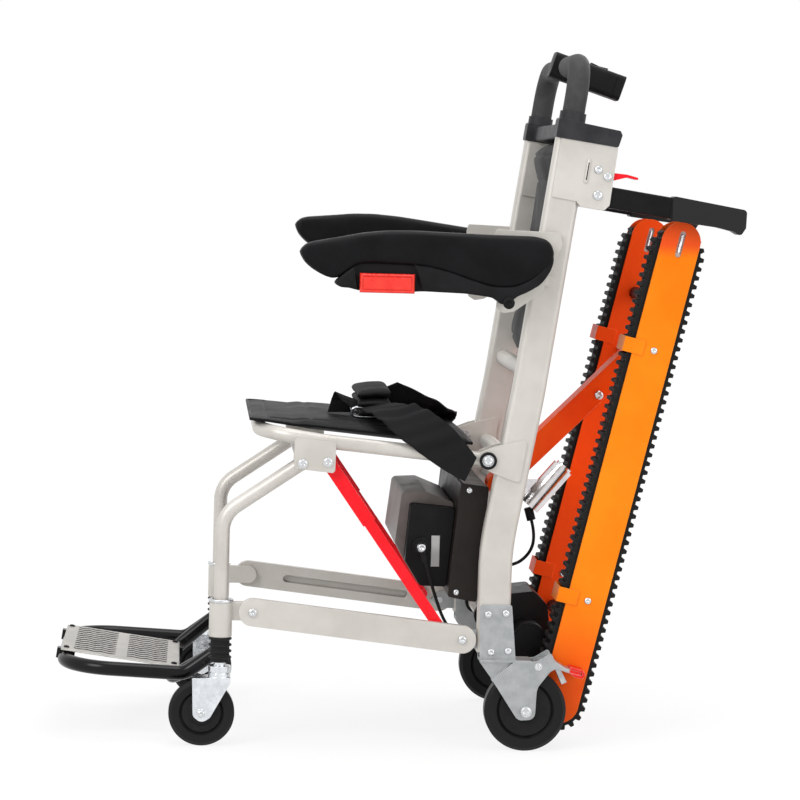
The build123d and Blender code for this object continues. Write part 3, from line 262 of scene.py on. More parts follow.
acrossOnly, depthOnly, upOnly, roundAxle = (1.0, 0.0, 0.0), (0.0, 1.0, 0.0), (0.0, 0.0, 1.0), (0.0, 1.0, 1.0)
rearSpot, casterSpot, pedalSpot = toSpot(0, 0, 62.5), toSpot(0, -492, 50), toSpot(0, 160, 0)
gripSpot = toSpot(0, 500, 0)  # well behind the grips, which are what lies within 0.3 m of it
looks = {
    # powder coat on aluminium: an even silver grey with a slight orange peel, rubbed pale on the edges
    "powderCoatedAluminium": {
        "nodes": ("columns", "cross_members", "frame_plates", "link_bar_left", "link_bar_right", "front_legs",
                  "leg_sleeves", "seat_frame", "seat_gussets"),
        "colours": ("#C5C1BA", "#D2CEC8"), "rough": (0.36, 0.46), "mottle": 90, "grain": (2.6, 0.05),
        "edge": "#EFEDE8", "metal": 0.3},
    # blasted and zinc plated sheet: matt grey with a cool cast
    "zincPlatedSheet": {
        "nodes": ("rear_brackets",), "colours": ("#A0A3A4", "#B2B4B5"), "rough": (0.36, 0.5), "mottle": 18,
        "grain": (0.9, 0.04), "edge": "#D5D8DA", "metal": 0.75},
    # bright zinc on pressed forks: near mirror, with faint blue spangle
    "brightZinc": {
        "nodes": ("caster_fork_left", "caster_fork_right", "belt_rings"), "colours": ("#D6DADE", "#EDF0F4"),
        "rough": (0.16, 0.28), "mottle": 12, "grain": (1.6, 0.05), "edge": "#F6F8FA", "metal": 1.0},
    # turned stainless bolt heads: fine grain and a soft gleam
    "turnedStainless": {
        "nodes": ("chassis_bolts", "fold_bolts"), "colours": ("#C6C8CA", "#DCDEE0"), "rough": (0.2, 0.32),
        "mottle": 3, "grain": (0.7, 0.03), "metal": 1.0},
    # moulded ABS: spark-eroded matt grain
    "mouldedAbs": {
        "nodes": ("control_box", "control_rocker", "backrest_shell", "control_unit", "idler_pulleys",
                  "armrest_left", "armrest_right"),
        "colours": ("#111112", "#19191B"), "rough": (0.42, 0.55), "mottle": 30, "grain": (0.9, 0.06),
        "edge": "#2C2C2E", "gleam": 0.14},
    # dark grey moulding of the column caps: the same grain, a shade paler
    "mouldedPolypropylene": {
        "nodes": ("top_caps",), "colours": ("#27272A", "#343437"), "rough": (0.42, 0.55), "mottle": 26,
        "grain": (0.9, 0.06), "edge": "#505053", "gleam": 0.2},
    # light grey moulded ring and blank plates: plain and even
    "paleMoulding": {
        "nodes": ("handle_rings",), "colours": ("#B6B6B4", "#C6C6C4"), "rough": (0.4, 0.5), "mottle": 25,
        "grain": (0.9, 0.04)},
    # black painted lifting bar, with a greyer rubber grip towards its end
    "paintedSteel": {
        "nodes": ("lift_bar_left", "lift_bar_right"), "colours": ("#0B0B0C", "#121213"), "rough": (0.35, 0.5),
        "mottle": 26, "grain": (1.1, 0.06), "edge": "#333335", "gleam": 0.14,
        "zones": [(gripSpot, depthOnly, (0.3, 0.2985), "#262627")]},
    # vulcanised rubber: dull, a little grey with dust; on the tread's groove faces it is painted shade
    "vulcanisedRubberAndPaintedShade": {
        "nodes": ("track_belts", "leg_collars", "cable_fittings", "battery_lead", "motor_lead"),
        "colours": ("#131313", "#1D1D1D"), "rough": (0.58, 0.75), "mottle": 10, "grain": (1.1, 0.08),
        "edge": "#4A4A48", "wearAndHighlight": 0.6, "gleam": 0.2},
    # cast polyurethane tyre round a nylon hub: a slightly paler band and a satin face
    "rearTyre": {
        "nodes": ("rear_wheel_left", "rear_wheel_right"), "colours": ("#131314", "#1A1A1B"),
        "rough": (0.4, 0.5), "mottle": 16, "grain": (0.9, 0.05), "gleam": 0.18,
        "zones": [(rearSpot, roundAxle, (0.0438, 0.0446), "#161617"),
                  (rearSpot, roundAxle, (0.062, 0.0626), "#2E2E2E")]},
    "casterTyre": {
        "nodes": ("caster_wheel_left", "caster_wheel_right"), "colours": ("#141415", "#1C1C1D"),
        "rough": (0.42, 0.52), "mottle": 16, "grain": (0.9, 0.05), "gleam": 0.18,
        "zones": [(casterSpot, roundAxle, (0.0338, 0.0345), "#161617")]},
    # black stove enamel on bent tube: glossy with long highlights
    "stoveEnamel": {
        "nodes": ("footrest_frame", "push_handle"), "colours": ("#0E0E0F", "#151516"), "rough": (0.14, 0.22),
        "mottle": 60, "grain": (3.0, 0.03), "edge": "#2C2C2E", "gleam": 0.16, "coat": (0.06, 0.08)},
    # red gloss paint on flat steel bar: even and wet looking, with a painted highlight as the pale tint on its
    # edges
    "redGlossWithPaintedHighlight": {
        "nodes": ("lock_strut_left", "lock_strut_right", "lift_release_left", "lift_release_right"),
        "colours": ("#EF0D1B", "#FA1424"), "rough": (0.22, 0.3), "mottle": 50, "grain": (3.0, 0.04),
        "edge": "#FF6A70", "gleam": 0.2, "coat": (0.08, 0.1)},
    # red acetal: slightly waxy moulding, with a painted highlight as the pale tint round its rim
    "redAcetalWithPaintedHighlight": {
        "nodes": ("arm_button_left", "arm_button_right"), "colours": ("#E9261B", "#F4392A"),
        "rough": (0.24, 0.34), "mottle": 20, "grain": (1.2, 0.03), "edge": "#FF8A7C", "gleam": 0.35,
        "coat": (0.3, 0.08)},
    # orange powder coat on folded sheet: redder at its foot and near its top, and painted shade makes its inner
    # faces and the far side's cover red orange
    "orangeCoatAndPaintedShade": {
        "nodes": ("track_covers",), "colours": ("#F97F08", "#FF8C12"), "rough": (0.36, 0.46), "mottle": 120,
        "grain": (2.4, 0.05), "edge": "#FFB060", "wearAndHighlight": 0.35, "gleam": 0.12,
        "zones": [((0, 0, 0), upOnly, (0.24, 0.09), "#F65A12"), ((0, 0, 1), upOnly, (0.245, 0.225), "#F4571E"),
                  # painted shade: red orange by the distance across from the near cover's outer face
                  ((0.19, 0, 0), acrossOnly, (0.03, 0.09), "#F85F0A"),
                  ((0.19, 0, 0), acrossOnly, (0.2, 0.34), "#FF4A0A")]},
    # the same coat in red orange on the stay, chipped along its edges
    "redOrangePowderCoat": {
        "nodes": ("stay_arm",), "colours": ("#FC480A", "#FF5A10"), "rough": (0.36, 0.46), "mottle": 120,
        "grain": (2.4, 0.05), "edge": "#FFC6A8", "wearAndHighlight": 0.7, "gleam": 0.12},
    # drawn aluminium tube, polished along its length: stretched highlights
    "polishedAluminium": {
        "nodes": ("stay_motor",), "colours": ("#CFCBCC", "#E4E1E2"), "rough": (0.16, 0.28), "mottle": 14,
        "grain": (1.5, 0.03), "brushed": (1.0, 0.08, 1.0), "metal": 1.0},
    # anodised tread: satin, scuffed by shoes
    "anodisedTread": {
        "nodes": ("tread_plate",), "colours": ("#A7A49F", "#BDBAB5"), "rough": (0.36, 0.52), "mottle": 22,
        "grain": (0.8, 0.05), "edge": "#DAD8D4", "metal": 0.7},
    # black oxide on the machined gearbox and rails: dark with a faint metal sheen
    "blackOxide": {
        "nodes": ("track_rails", "drive_shaft", "drive_housing"), "colours": ("#101011", "#1A1A1B"),
        "rough": (0.38, 0.55), "mottle": 22, "grain": (1.2, 0.07), "edge": "#3C3C3E", "metal": 0.2,
        "gleam": 0.25},
    # satin black sheet housing with a warm cast
    "satinSheet": {
        "nodes": ("electronics_housing",), "colours": ("#17120F", "#201A17"), "rough": (0.4, 0.5), "mottle": 45,
        "grain": (1.8, 0.05), "edge": "#4A4442", "gleam": 0.22},
    # textured warm grey battery shell
    "batteryShell": {
        "nodes": ("battery_case",), "colours": ("#6C6360", "#7F7672"), "rough": (0.38, 0.5), "mottle": 40,
        "grain": (0.9, 0.06), "edge": "#A39B97"},
    # closed-cell foam sleeve: dull skin with shallow pores
    "closedCellFoam": {
        "nodes": ("handle_foam",), "colours": ("#333334", "#444445"), "rough": (0.6, 0.78), "mottle": 26,
        "grain": (1.0, 0.14), "gleam": 0.25},
    # coated upholstery: leather grain pressed in
    "grainedVinyl": {
        "nodes": ("seat_pad", "backrest_pad", "lap_belt"), "colours": ("#0E0E0F", "#171718"),
        "rough": (0.48, 0.62), "mottle": 70, "grain": (2.2, 0.16), "cells": True, "gleam": 0.16},
    # integral skin polyurethane of the armrests: soft sheen, very fine grain
    "integralSkin": {
        "colours": ("#08080A", "#111113"), "rough": (0.4, 0.54), "mottle": 60, "grain": (1.4, 0.08),
        "cells": True, "gleam": 0.12},
    # padded webbing of the folded belt: matt and fuzzy
    "paddedWebbing": {
        "colours": ("#131314", "#202021"), "rough": (0.6, 0.78), "mottle": 22, "grain": (1.6, 0.2),
        "gleam": 0.15},
    # zinc plated lever with a red dipped pedal
    "brakeZinc": {
        "nodes": ("brake_left", "brake_right"), "colours": ("#A9ACAD", "#C2C4C5"), "rough": (0.28, 0.42),
        "mottle": 12, "grain": (0.9, 0.04), "edge": "#E2E4E5", "metal": 0.6,
        "zones": [(pedalSpot, depthOnly, (0.0945, 0.093), "#E8281C")]},
}
made = {name: finish(name, look) for name, look in looks.items()}
made["nylonWebbing"] = weave("nylonWebbing", {"thread": 1.6, "turns": (0.9, -0.9), "depth": 0.35, "rough": 0.72,
                                              "colours": ("#09090A", "#17171A", "#101011")})
bare = set(nodes)
for lookName, look in looks.items():
    for name in look.get("nodes", ()):
        nodes[name].data.materials.clear()
        nodes[name].data.materials.append(made[lookName])
        bare.discard(name)
for item in leads:
    item.data.materials.append(made["vulcanisedRubberAndPaintedShade"])
print("materials made, nodes without one:", sorted(bare))

# mesh helpers


def gridFaces(rows, columns, closed=False, flip=False):
    # quads between neighbouring points of a grid whose columns may run round
    i, j = np.meshgrid(np.arange(rows - 1), np.arange(columns if closed else columns - 1), indexing="ij")
    a, b = i * columns + j, i * columns + (j + 1) % columns
    quads = np.stack([a, b, b + columns, a + columns], -1).reshape(-1, 4)
    return (quads[:, ::-1] if flip else quads).tolist()


def makePiece(name, parts, look, body, replaced=(), uv=None):
    # one mesh from several grids in millimetres from the axle: welded with its faces outwards, or an open
    # sheet that carries a UV map
    points, faces, start = [], [], 0
    for grid, quads in parts:
        points.append(toFrame(grid).reshape(-1, 3))
        faces += (np.asarray(quads) + start).tolist()
        start += len(points[-1])
    data = bpy.data.meshes.new(name)
    data.from_pydata(np.concatenate(points).tolist(), [], faces)
    if uv is not None:
        layer = data.uv_layers.new(name="UVMap")
        corners = np.zeros(len(data.loops), int)
        data.loops.foreach_get("vertex_index", corners)
        layer.data.foreach_set("uv", uv[corners].ravel())
    else:
        work = bmesh.new()
        work.from_mesh(data)
        bmesh.ops.remove_doubles(work, verts=work.verts, dist=2e-6)
        bmesh.ops.dissolve_degenerate(work, edges=work.edges, dist=1e-7)
        bmesh.ops.recalc_face_normals(work, faces=work.faces)
        work.to_mesh(data)
        work.free()
    data.polygons.foreach_set("use_smooth", np.ones(len(data.polygons), bool))
    data.materials.append(made[look])
    item = addObject(name, data)
    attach(item, body)
    if replaced:
        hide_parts(*replaced)
    return item


def eased(path, shares, reach=0.02, count=400):
    # a path with its corners eased: each point is the mean of those within reach, less near the ends
    path = np.asarray(path, float)
    steps = np.r_[0, np.cumsum(np.linalg.norm(np.diff(path, axis=0), axis=1))]
    fine = np.linspace(0, 1, count)
    span = np.minimum(reach, np.minimum(fine, 1 - fine))
    window = np.clip(fine[:, None] + span[:, None] * np.linspace(-1, 1, 9), 0, 1)
    lines = []
    for values in path.T:
        straight = np.interp(fine * steps[-1], steps, values)
        lines.append(np.interp(shares, fine, np.interp(window, fine, straight).mean(1)))
    return np.stack(lines, -1)


def crowded(count):
    # shares from 0 to 1 that crowd towards both ends
    return (1 - np.cos(np.pi * np.linspace(0, 1, count))) / 2


def spread(rows, columns):
    # two grids from -1 to 1, down the rows and along the columns, crowded at the rims
    return np.meshgrid(2 * crowded(rows) - 1, 2 * crowded(columns) - 1, indexing="ij")


def superLoop(count, square):
    # superellipse |x|^n + |z|^n = 1 as (x, z) pairs round the loop
    turn = np.linspace(0, 2 * np.pi, count, endpoint=False)
    c, s = np.cos(turn), np.sin(turn)
    return np.sign(c) * np.abs(c) ** (2 / square), np.sign(s) * np.abs(s) ** (2 / square)


def rounding(shares, reach):
    # quarter circle rise from 0 at both ends to 1 within reach
    q = np.clip(np.minimum(shares, 1 - shares) / reach, 0, 1)
    return np.sqrt(1 - (1 - q) ** 2)


def loftBetween(upper, lower, middle, half, reach, square, stations, loop, widths=None):
    # Closed form between two edge lines in the (depth, height) plane: each station joins a point of one line
    # to one of the other, and carries a superellipse whose width falls to nothing at both tips.
    shares = crowded(stations)
    top, low = eased(upper, shares), eased(lower, shares)
    across, up = superLoop(loop, square)
    wide = half * rounding(shares, reach)
    centre, arm = (top + low) / 2, (top - low) / 2
    x = middle + wide[:, None] * across
    if widths is not None:
        x = widths(x, centre[:, 0:1])
    y = centre[:, 0:1] + arm[:, 0:1] * up
    z = centre[:, 1:2] + arm[:, 1:2] * up
    return joined(x, y, z), gridFaces(stations, loop, closed=True)


def pillow(front, rear, square=12):
    # Two sheets that meet in a seam all round: each leaves the middle surface by a share that falls to nothing
    # at the edges, as (1 - |a|^n)^0.5.
    rows, columns = front.shape[:2]
    a, b = spread(rows, columns)
    rise = (np.sqrt(1 - np.abs(a) ** square) * np.sqrt(1 - np.abs(b) ** square))[..., None]
    middle = (front + rear) / 2
    top, low = middle + (front - middle) * rise, middle + (rear - middle) * rise
    return [(top, gridFaces(rows, columns)), (low, gridFaces(rows, columns, flip=True))], middle


def roundTube(path, radius, count=10, closed=False):
    # circle carried along a path, its frame set square to the path from one fixed direction
    path = np.asarray(path, float)
    ahead = np.roll(path, -1, 0) - np.roll(path, 1, 0)
    if not closed:
        ahead[0], ahead[-1] = path[1] - path[0], path[-1] - path[-2]
    ahead /= np.linalg.norm(ahead, axis=1, keepdims=True)
    side = np.cross(ahead, [0.03, 0.05, 1.0])
    side /= np.linalg.norm(side, axis=1, keepdims=True)
    top = np.cross(side, ahead)
    turn = np.linspace(0, 2 * np.pi, count, endpoint=False)
    ring = radius * (np.cos(turn)[None, :, None] * side[:, None] + np.sin(turn)[None, :, None] * top[:, None])
    grid = path[:, None] + ring
    if closed:
        grid = np.concatenate([grid, grid[:1]])
    else:
        ends = [np.repeat(path[i][None, None], count, 1) for i in (0, -1)]
        grid = np.concatenate([ends[0], grid, ends[1]])
    return grid, gridFaces(len(grid), count, closed=True)


def smooth(low, high, values):
    # rises from 0 at low to 1 at high as 3t^2 - 2t^3
    t = np.clip((values - low) / (high - low), 0, 1)
    return t * t * (3 - 2 * t)


def mirrorX(parts):
    # the same grids on the other side
    return [(np.asarray(p) * np.array([-1.0, 1, 1]), f) for p, f in parts]


# Armrests: a firm pad over a moulded shell, parted along a wavy seam. A form is its half width, how far its
# ends are rounded, how square its section is, and how many stations and points round it has.
armSet = {
    "middle": 261.0,
    "padForm": (21.6, 0.045, 4.2, 150, 64),
    "shellForm": (19.8, 0.03, 6.0, 260, 48),
    "padUpper": [
        (-361.8, 752.5), (-357.3, 761.9), (-346.8, 767.4), (-323, 772), (-299, 776.6), (-268, 783),
        (-233, 787), (-194, 788), (-154, 787), (-74, 784.6), (-10, 784), (9, 779.3), (16, 768.8), (18, 757)],
    "padLower": [
        (-361.8, 752.5), (-358, 742), (-348.6, 731.7), (-335, 722.8), (-319, 715.2), (-306, 713.5),
        (-290, 725.2), (-274.5, 736.5), (-248, 737.5), (-195, 736), (-171, 733.6), (-147, 728.3),
        (-125, 721.4), (-101, 712.7), (-79, 706.4), (-58, 704), (-39, 705), (-18, 713.5), (-2, 724.5),
        (9, 735), (16, 748), (18, 757)],
    "shellUpper": [
        (-309, 709), (-300, 719), (-290, 728), (-274.5, 740), (-248, 741), (-195, 739.5), (-171, 737),
        (-147, 732), (-125, 725), (-101, 716.5), (-79, 710), (-58, 708), (-40, 709), (-20, 718), (-5, 729),
        (6, 740), (14, 756)],
    "shellLower": [
        (-309, 709), (-306, 703), (-297, 700.5), (-284, 701), (-277, 697), (-191, 696.7), (-180, 698),
        (-111, 696), (-79, 692), (-67, 689.6), (-63.9, 683), (-54.5, 679.6), (-44, 684.9), (-38.8, 692.2),
        (-18, 701.5), (0, 713), (10, 727), (16.5, 740), (18, 756)],
    "pivot": (-49.0, 684.0),
    "raised": math.radians(-6),
    "pocket": (-277.5, -184.5),
    "pocketSide": 271.5,
}


def onLeft(parts):
    return parts


def onRight(parts):
    # mirrored to the right side and tipped up about the armrest's pivot
    c, s = math.cos(armSet["raised"]), math.sin(armSet["raised"])
    low, high = armSet["pivot"]
    turned = []
    for p, f in mirrorX(parts):
        y, z = p[..., 1] - low, p[..., 2] - high
        turned.append((joined(p[..., 0], low + y * c - z * s, high + y * s + z * c), f))
    return turned


armSides = (("left", onLeft), ("right", onRight))


def armPocket(x, y):
    # the outer side steps in where the release bar sits
    low, high = armSet["pocket"]
    return np.where((y > low) & (y < high), np.minimum(x, armSet["pocketSide"]), x)


def makeArmrests():
    pad = [loftBetween(armSet["padUpper"], armSet["padLower"], armSet["middle"], *armSet["padForm"])]
    shell = [loftBetween(armSet["shellUpper"], armSet["shellLower"], armSet["middle"], *armSet["shellForm"],
                         armPocket)]
    for side, turn in armSides:
        body = "armrest_" + side
        soft = makePiece("armPad_" + side, turn(pad), "integralSkin", body, (body,))
        makePiece("armShell_" + side, turn(shell), "mouldedAbs", body, (body,))


makeArmrests()
print("armrests made")

# Seat pad: thin foam in grained vinyl with a stitched border, cross channels and a piped edge. Its stations are
# (depth, underside, thickness, share of the half width). The sides are drawn in between the corners.
seatSet = {
    "half": 199.0,
    "drawn": 0.012,
    "stations": [(-427, 492.5, 6, 0.96), (-415, 491.2, 7.5, 0.985), (-400, 489.5, 8.5, 1.0),
                 (-362, 483.4, 10.5, 1.0), (-346, 480.9, 15, 1.0), (-330, 478.4, 17, 1.0),
                 (-200, 466.2, 19, 1.0), (-130, 459.7, 21, 0.985), (-90, 456.0, 18, 0.96)],
    "crown": 5.0,
    "crowned": (-400.0, -330.0),
    "border": 26.0,
    "channels": (-335.0, -255.0, -175.0),
    "apart": 80.0,
    "puff": 1.2,
    "groove": 1.9,
    "lift": 0.4,
    "piping": 2.4,
    "grid": (150, 150),
}


def makeSeatPad():
    table = np.array(seatSet["stations"], float)
    front, rear = table[0, 0], table[-1, 0]
    b, a = spread(*seatSet["grid"])
    y = (front + rear) / 2 + b * (rear - front) / 2
    base, thick, share = (np.interp(y, table[:, 0], table[:, i]) for i in (1, 2, 3))
    x = seatSet["half"] * share * a
    x = x * (1 - seatSet["drawn"] * (1 - (2 * (y - front) / (rear - front) - 1) ** 2))
    edge = np.minimum(seatSet["half"] - np.abs(x), np.minimum(y - front, rear - y))
    groove = np.exp(-((edge - seatSet["border"]) / 2.2) ** 2)
    inner = 1 / (1 + np.exp(-(edge - seatSet["border"]) / 2))
    for line in seatSet["channels"]:
        groove = np.maximum(groove, inner * np.exp(-((y - line) / 2.4) ** 2))
    crown = seatSet["crown"] * (1 - (x / seatSet["half"]) ** 2) * smooth(*seatSet["crowned"], y)
    puff = seatSet["puff"] * inner * np.abs(np.sin((y - seatSet["channels"][0]) * np.pi / seatSet["apart"]))
    top = base + thick + crown + puff - seatSet["groove"] * groove
    parts, middle = pillow(joined(x, y, top), joined(x, y, base + seatSet["lift"]))
    pad = makePiece("seatPad", parts, "grainedVinyl", "seat", ("seat_pad",))
    rim = np.concatenate([middle[0, :-1], middle[:-1, -1], middle[-1, :0:-1], middle[:0:-1, 0]])
    makePiece("seatPiping", [roundTube(rim, seatSet["piping"], closed=True)], "integralSkin", "seat")


makeSeatPad()
print("seat pad made")

# backrest: padded panel between the columns, with a head roll and a lumbar roll
backSet = {
    "half": 195.0,
    "profile": [(-6, -2), (-20, -14), (-26, -26), (-20, -44), (-12, -60), (-10, -120), (-10, -200), (-9, -262),
                (-13, -290), (-14, -304), (-8, -324), (2, -338)],
    "rear": 19.6,
    "crown": 22.0,
    "border": 24.0,
    "channels": (-64.0, -150.0, -236.0),
    "groove": 2.4,
    "grid": (150, 120),
}


def makeBackrest():
    b, a = spread(*backSet["grid"])
    line = eased(backSet["profile"], (b[:, 0] + 1) / 2, 0.03)
    x = backSet["half"] * a
    u = line[:, 1:2]
    upper, lower = backSet["profile"][0][1], backSet["profile"][-1][1]
    edge = np.minimum(backSet["half"] - np.abs(x), np.minimum(upper - u, u - lower)) - backSet["border"]
    inner = 1 / (1 + np.exp(-edge / 2))
    groove = np.exp(-(edge / 2.4) ** 2)
    for spot in backSet["channels"]:
        groove = np.maximum(groove, inner * np.exp(-((u - spot) / 2.8) ** 2))
    v = np.minimum(line[:, 0:1] + backSet["crown"] * a ** 2, backSet["rear"] - 5) + backSet["groove"] * groove
    front, rear = (leaned(joined(x, depth, u), topFrame) for depth in (v, backSet["rear"]))
    pad = makePiece("backrestPad", pillow(front, rear, 16)[0], "grainedVinyl", "chassis",
                    ("backrest_pad",))


makeBackrest()
print("backrest made")

# lap belt: runs of webbing from the hinges over the pad, each a list of point pairs on its two edges
beltSet = {
    "thick": 2.2,
    "ease": 0.09,
    "flatAt": {"strap": 478.0, "heap": 489.0},
    "kept": 0.12,
    "ripples": {"beltNear": 3.2, "beltFar": 3.2, "beltRear": 3.2, "beltTip": 0.6},
    "beltNear": [
        ((239.5, -103, 412), (239.5, -86, 448)), ((239.5, -130, 424), (239, -104, 470)),
        ((239, -163, 446), (237, -120, 490)), ((236, -196, 470), (222, -146, 510)),
        ((218, -222, 492), (196, -170, 520)), ((186, -240, 505), (168, -190, 522)),
        ((150, -252, 508), (138, -206, 520)), ((118, -258, 509), (112, -212, 518))],
    "beltFar": [
        ((-239.5, -104, 412), (-239.5, -88, 444)), ((-239.5, -132, 430), (-239, -106, 468)),
        ((-230, -150, 472), (-226, -112, 484)), ((-190, -172, 494), (-176, -128, 494)),
        ((-120, -200, 503), (-100, -152, 500)), ((-50, -232, 512), (-36, -184, 516)),
        ((0, -252, 528), (6, -206, 532))],
    "beltRear": [
        ((40, -240, 526), (44, -196, 546)), ((24, -214, 508), (26, -158, 530)),
        ((0, -180, 499), (6, -122, 510)), ((-50, -146, 492), (-34, -94, 496)),
        ((-130, -130, 489), (-110, -88, 484)), ((-196, -122, 482), (-176, -84, 474)),
        ((-236, -116, 464), (-234, -90, 458)), ((-239.5, -112, 434), (-239.5, -92, 440))],
    "beltTip": [
        ((104, -268, 507), (96, -232, 508)), ((106, -288, 522), (92, -250, 512)),
        ((100, -296, 536), (90, -262, 520)), ((88, -300, 524), (84, -272, 509)),
        ((82, -306, 500), (80, -270, 501))],
}


def ribbon(stations, ripple, rows=120, columns=17):
    # Webbing between two edge lines, eased along its run, with a shallow ripple that dies out at its ends: two
    # products of sines along its length and across it. Its UV map is laid out in metres.
    table = np.array(stations, float)
    shares = np.linspace(0, 1, rows)
    low, high = (eased(table[:, i], shares, beltSet["ease"]) for i in (0, 1))
    long, wide = shares[:, None], np.linspace(0, 1, columns)[None, :]
    grid = low[:, None] * (1 - wide[..., None]) + high[:, None] * wide[..., None]
    normal = np.cross(np.gradient(grid, axis=0), np.gradient(grid, axis=1))
    normal /= np.linalg.norm(normal, axis=-1, keepdims=True)
    wave = np.sin(long * 23) * np.sin(wide * 5 + long * 9) + 0.5 * np.sin(long * 47 + wide * 7)
    grid = grid + normal * (ripple * wave * np.sin(long * np.pi))[..., None]
    steps = np.linalg.norm(np.diff((low + high) / 2, axis=0), axis=1)
    run = np.r_[0, np.cumsum(steps)][:, None] / 1000 + 0 * wide
    span = wide * np.linalg.norm(high - low, axis=1).mean() / 1000 + 0 * long
    return (grid, gridFaces(rows, columns)), np.stack([run, span], -1).reshape(-1, 2)


def makeStrap(name, stations, ripple):
    part, uv = ribbon(stations, ripple)
    item = makePiece(name, [part], "nylonWebbing", "seat", ("lap_belt",), uv)
    wall = item.modifiers.new("wall", "SOLIDIFY")
    wall.thickness = beltSet["thick"] / 1000
    wall.offset = 0
    return item


foldSet = {"middle": (18.0, -231.0), "half": (98.0, 26.0), "base": 494.5, "high": 46.0, "layers": 3,
           "slopes": (-0.085, 0.11), "lean": -0.12, "shift": 2.0, "shorter": 0.02, "overlap": 0.02}


def makeFoldedBelt():
    # Folded padded belt: rounded layers stacked between a floor that follows the pad and a top that rises to
    # the rear, each a little shifted, shorter and pulled forward with its height.
    rng = np.random.default_rng(4)
    parts = []
    a, b = spread(70, 28)
    count = foldSet["layers"]
    across = foldSet["half"][1] * b
    for layer in range(count):
        shift = rng.uniform(-foldSet["shift"], foldSet["shift"], 2)
        x = foldSet["middle"][0] + shift[0] + foldSet["half"][0] * (1 - foldSet["shorter"] * layer) * a
        sag = 1.2 * np.sin(a * 4 + layer) + 0.6 * np.cos(b * 3)
        sheets = []
        for level in ((layer + 1 + foldSet["overlap"]) / count, (layer - foldSet["overlap"]) / count):
            slope = foldSet["slopes"][0] * (1 - level) + foldSet["slopes"][1] * level
            z = foldSet["base"] + foldSet["high"] * level + slope * across + sag
            y = foldSet["middle"][1] + shift[1] + across + foldSet["lean"] * (z - foldSet["base"])
            sheets.append(joined(x, y, z))
        parts += pillow(*sheets, 9)[0]
    heap = makePiece("beltFold", parts, "paddedWebbing", "seat", ("lap_belt",))
    return heap


ringSet = {"places": ((104, 0.25), (66, -0.15)), "middle": (-238.0, 503.0), "half": (31.0, 7.5), "wire": 2.0,
           "square": 2 / 0.45}


def makeRings():
    # wire slide rings: superellipses of round wire round the folded belt, each leaning its own way
    parts = []
    c, s = superLoop(72, ringSet["square"])
    for x, lean in ringSet["places"]:
        y, rise = ringSet["middle"][0] + ringSet["half"][0] * c, ringSet["half"][1] * s
        path = joined(x + lean * rise, y, ringSet["middle"][1] + rise)
        parts.append(roundTube(path, ringSet["wire"], closed=True))
    return makePiece("beltRings", parts, "brightZinc", "seat", ("belt_rings",))


straps = [makeStrap(name, beltSet[name], ripple) for name, ripple in beltSet["ripples"].items()]
heaps = [makeFoldedBelt(), makeRings()]
for kind, items in (("strap", straps), ("heap", heaps)):
    for item in items:
        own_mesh(item)
print("lap belt made")

# screw heads, their profiles as shares of radius and rise
outward, inward = (1.0, 0.0, 0.0), (-1.0, 0.0, 0.0)
screwSet = {
    "turn": 36,
    "dome": [(1.0, 0.0), (1.0, 0.3), (0.96, 0.52), (0.86, 0.76), (0.72, 0.92), (0.58, 1.0)],
    "socket": [(0.44, 1.0), (0.42, 0.92), (0.42, 0.4)],
    "flat": 0.88,
    "floor": 0.36,
}


def turnedAt(rings, spot, toward):
    # rings of (radius, height) pairs, laid round a direction from a spot
    ahead = np.asarray(toward, float)
    ahead = ahead / np.linalg.norm(ahead)
    side = np.cross(ahead, [0.3, 0.5, 0.81])
    side /= np.linalg.norm(side)
    up = np.cross(ahead, side)
    turn = np.linspace(0, 2 * np.pi, rings.shape[-1], endpoint=False)
    around = np.cos(turn)[:, None] * side + np.sin(turn)[:, None] * up
    grid = np.asarray(spot, float) + rings[:, 1, :, None] * ahead + rings[:, 0, :, None] * around
    return grid, gridFaces(len(rings), rings.shape[-1], closed=True)


def screwHeads(spots):
    # Dome heads with a hexagon socket: radius and height of each ring of the profile, times the size of each
    # head. A socket's radius follows a hexagon, 1 / cos of the angle to its flat.
    turn = np.linspace(0, 2 * np.pi, screwSet["turn"], endpoint=False)
    flat = screwSet["flat"] / np.cos((turn + np.pi / 6) % (np.pi / 3) - np.pi / 6)
    profile = [(0.0, 0.0)] + screwSet["dome"]
    rings = [(r + 0 * turn, h + 0 * turn) for r, h in profile]
    rings += [(r * flat, h + 0 * turn) for r, h in screwSet["socket"] + [(0, screwSet["floor"])]]
    rings = np.array(rings)
    return [turnedAt(rings * np.array([radius, high])[:, None], (x, y, z), way[0] if way else outward)
            for x, y, z, radius, high, *way in spots]


def plainRings(profile, spot, toward, count=48):
    # a lathe shape: every (radius, height) pair swept round a direction
    rings = np.repeat(np.array(profile, float)[:, :, None], count, 2)
    return turnedAt(rings, spot, toward)


liftBolt, releaseBolt, plateBolt = (
    leaned((0, *spot), topFrame)[1:] for spot in ((50.6, -76), (60.6, -46), (45.0, -38)))
clipLow, clipHigh = (leaned((0, 2, up), trackFrame)[1:] for up in (165, 562))
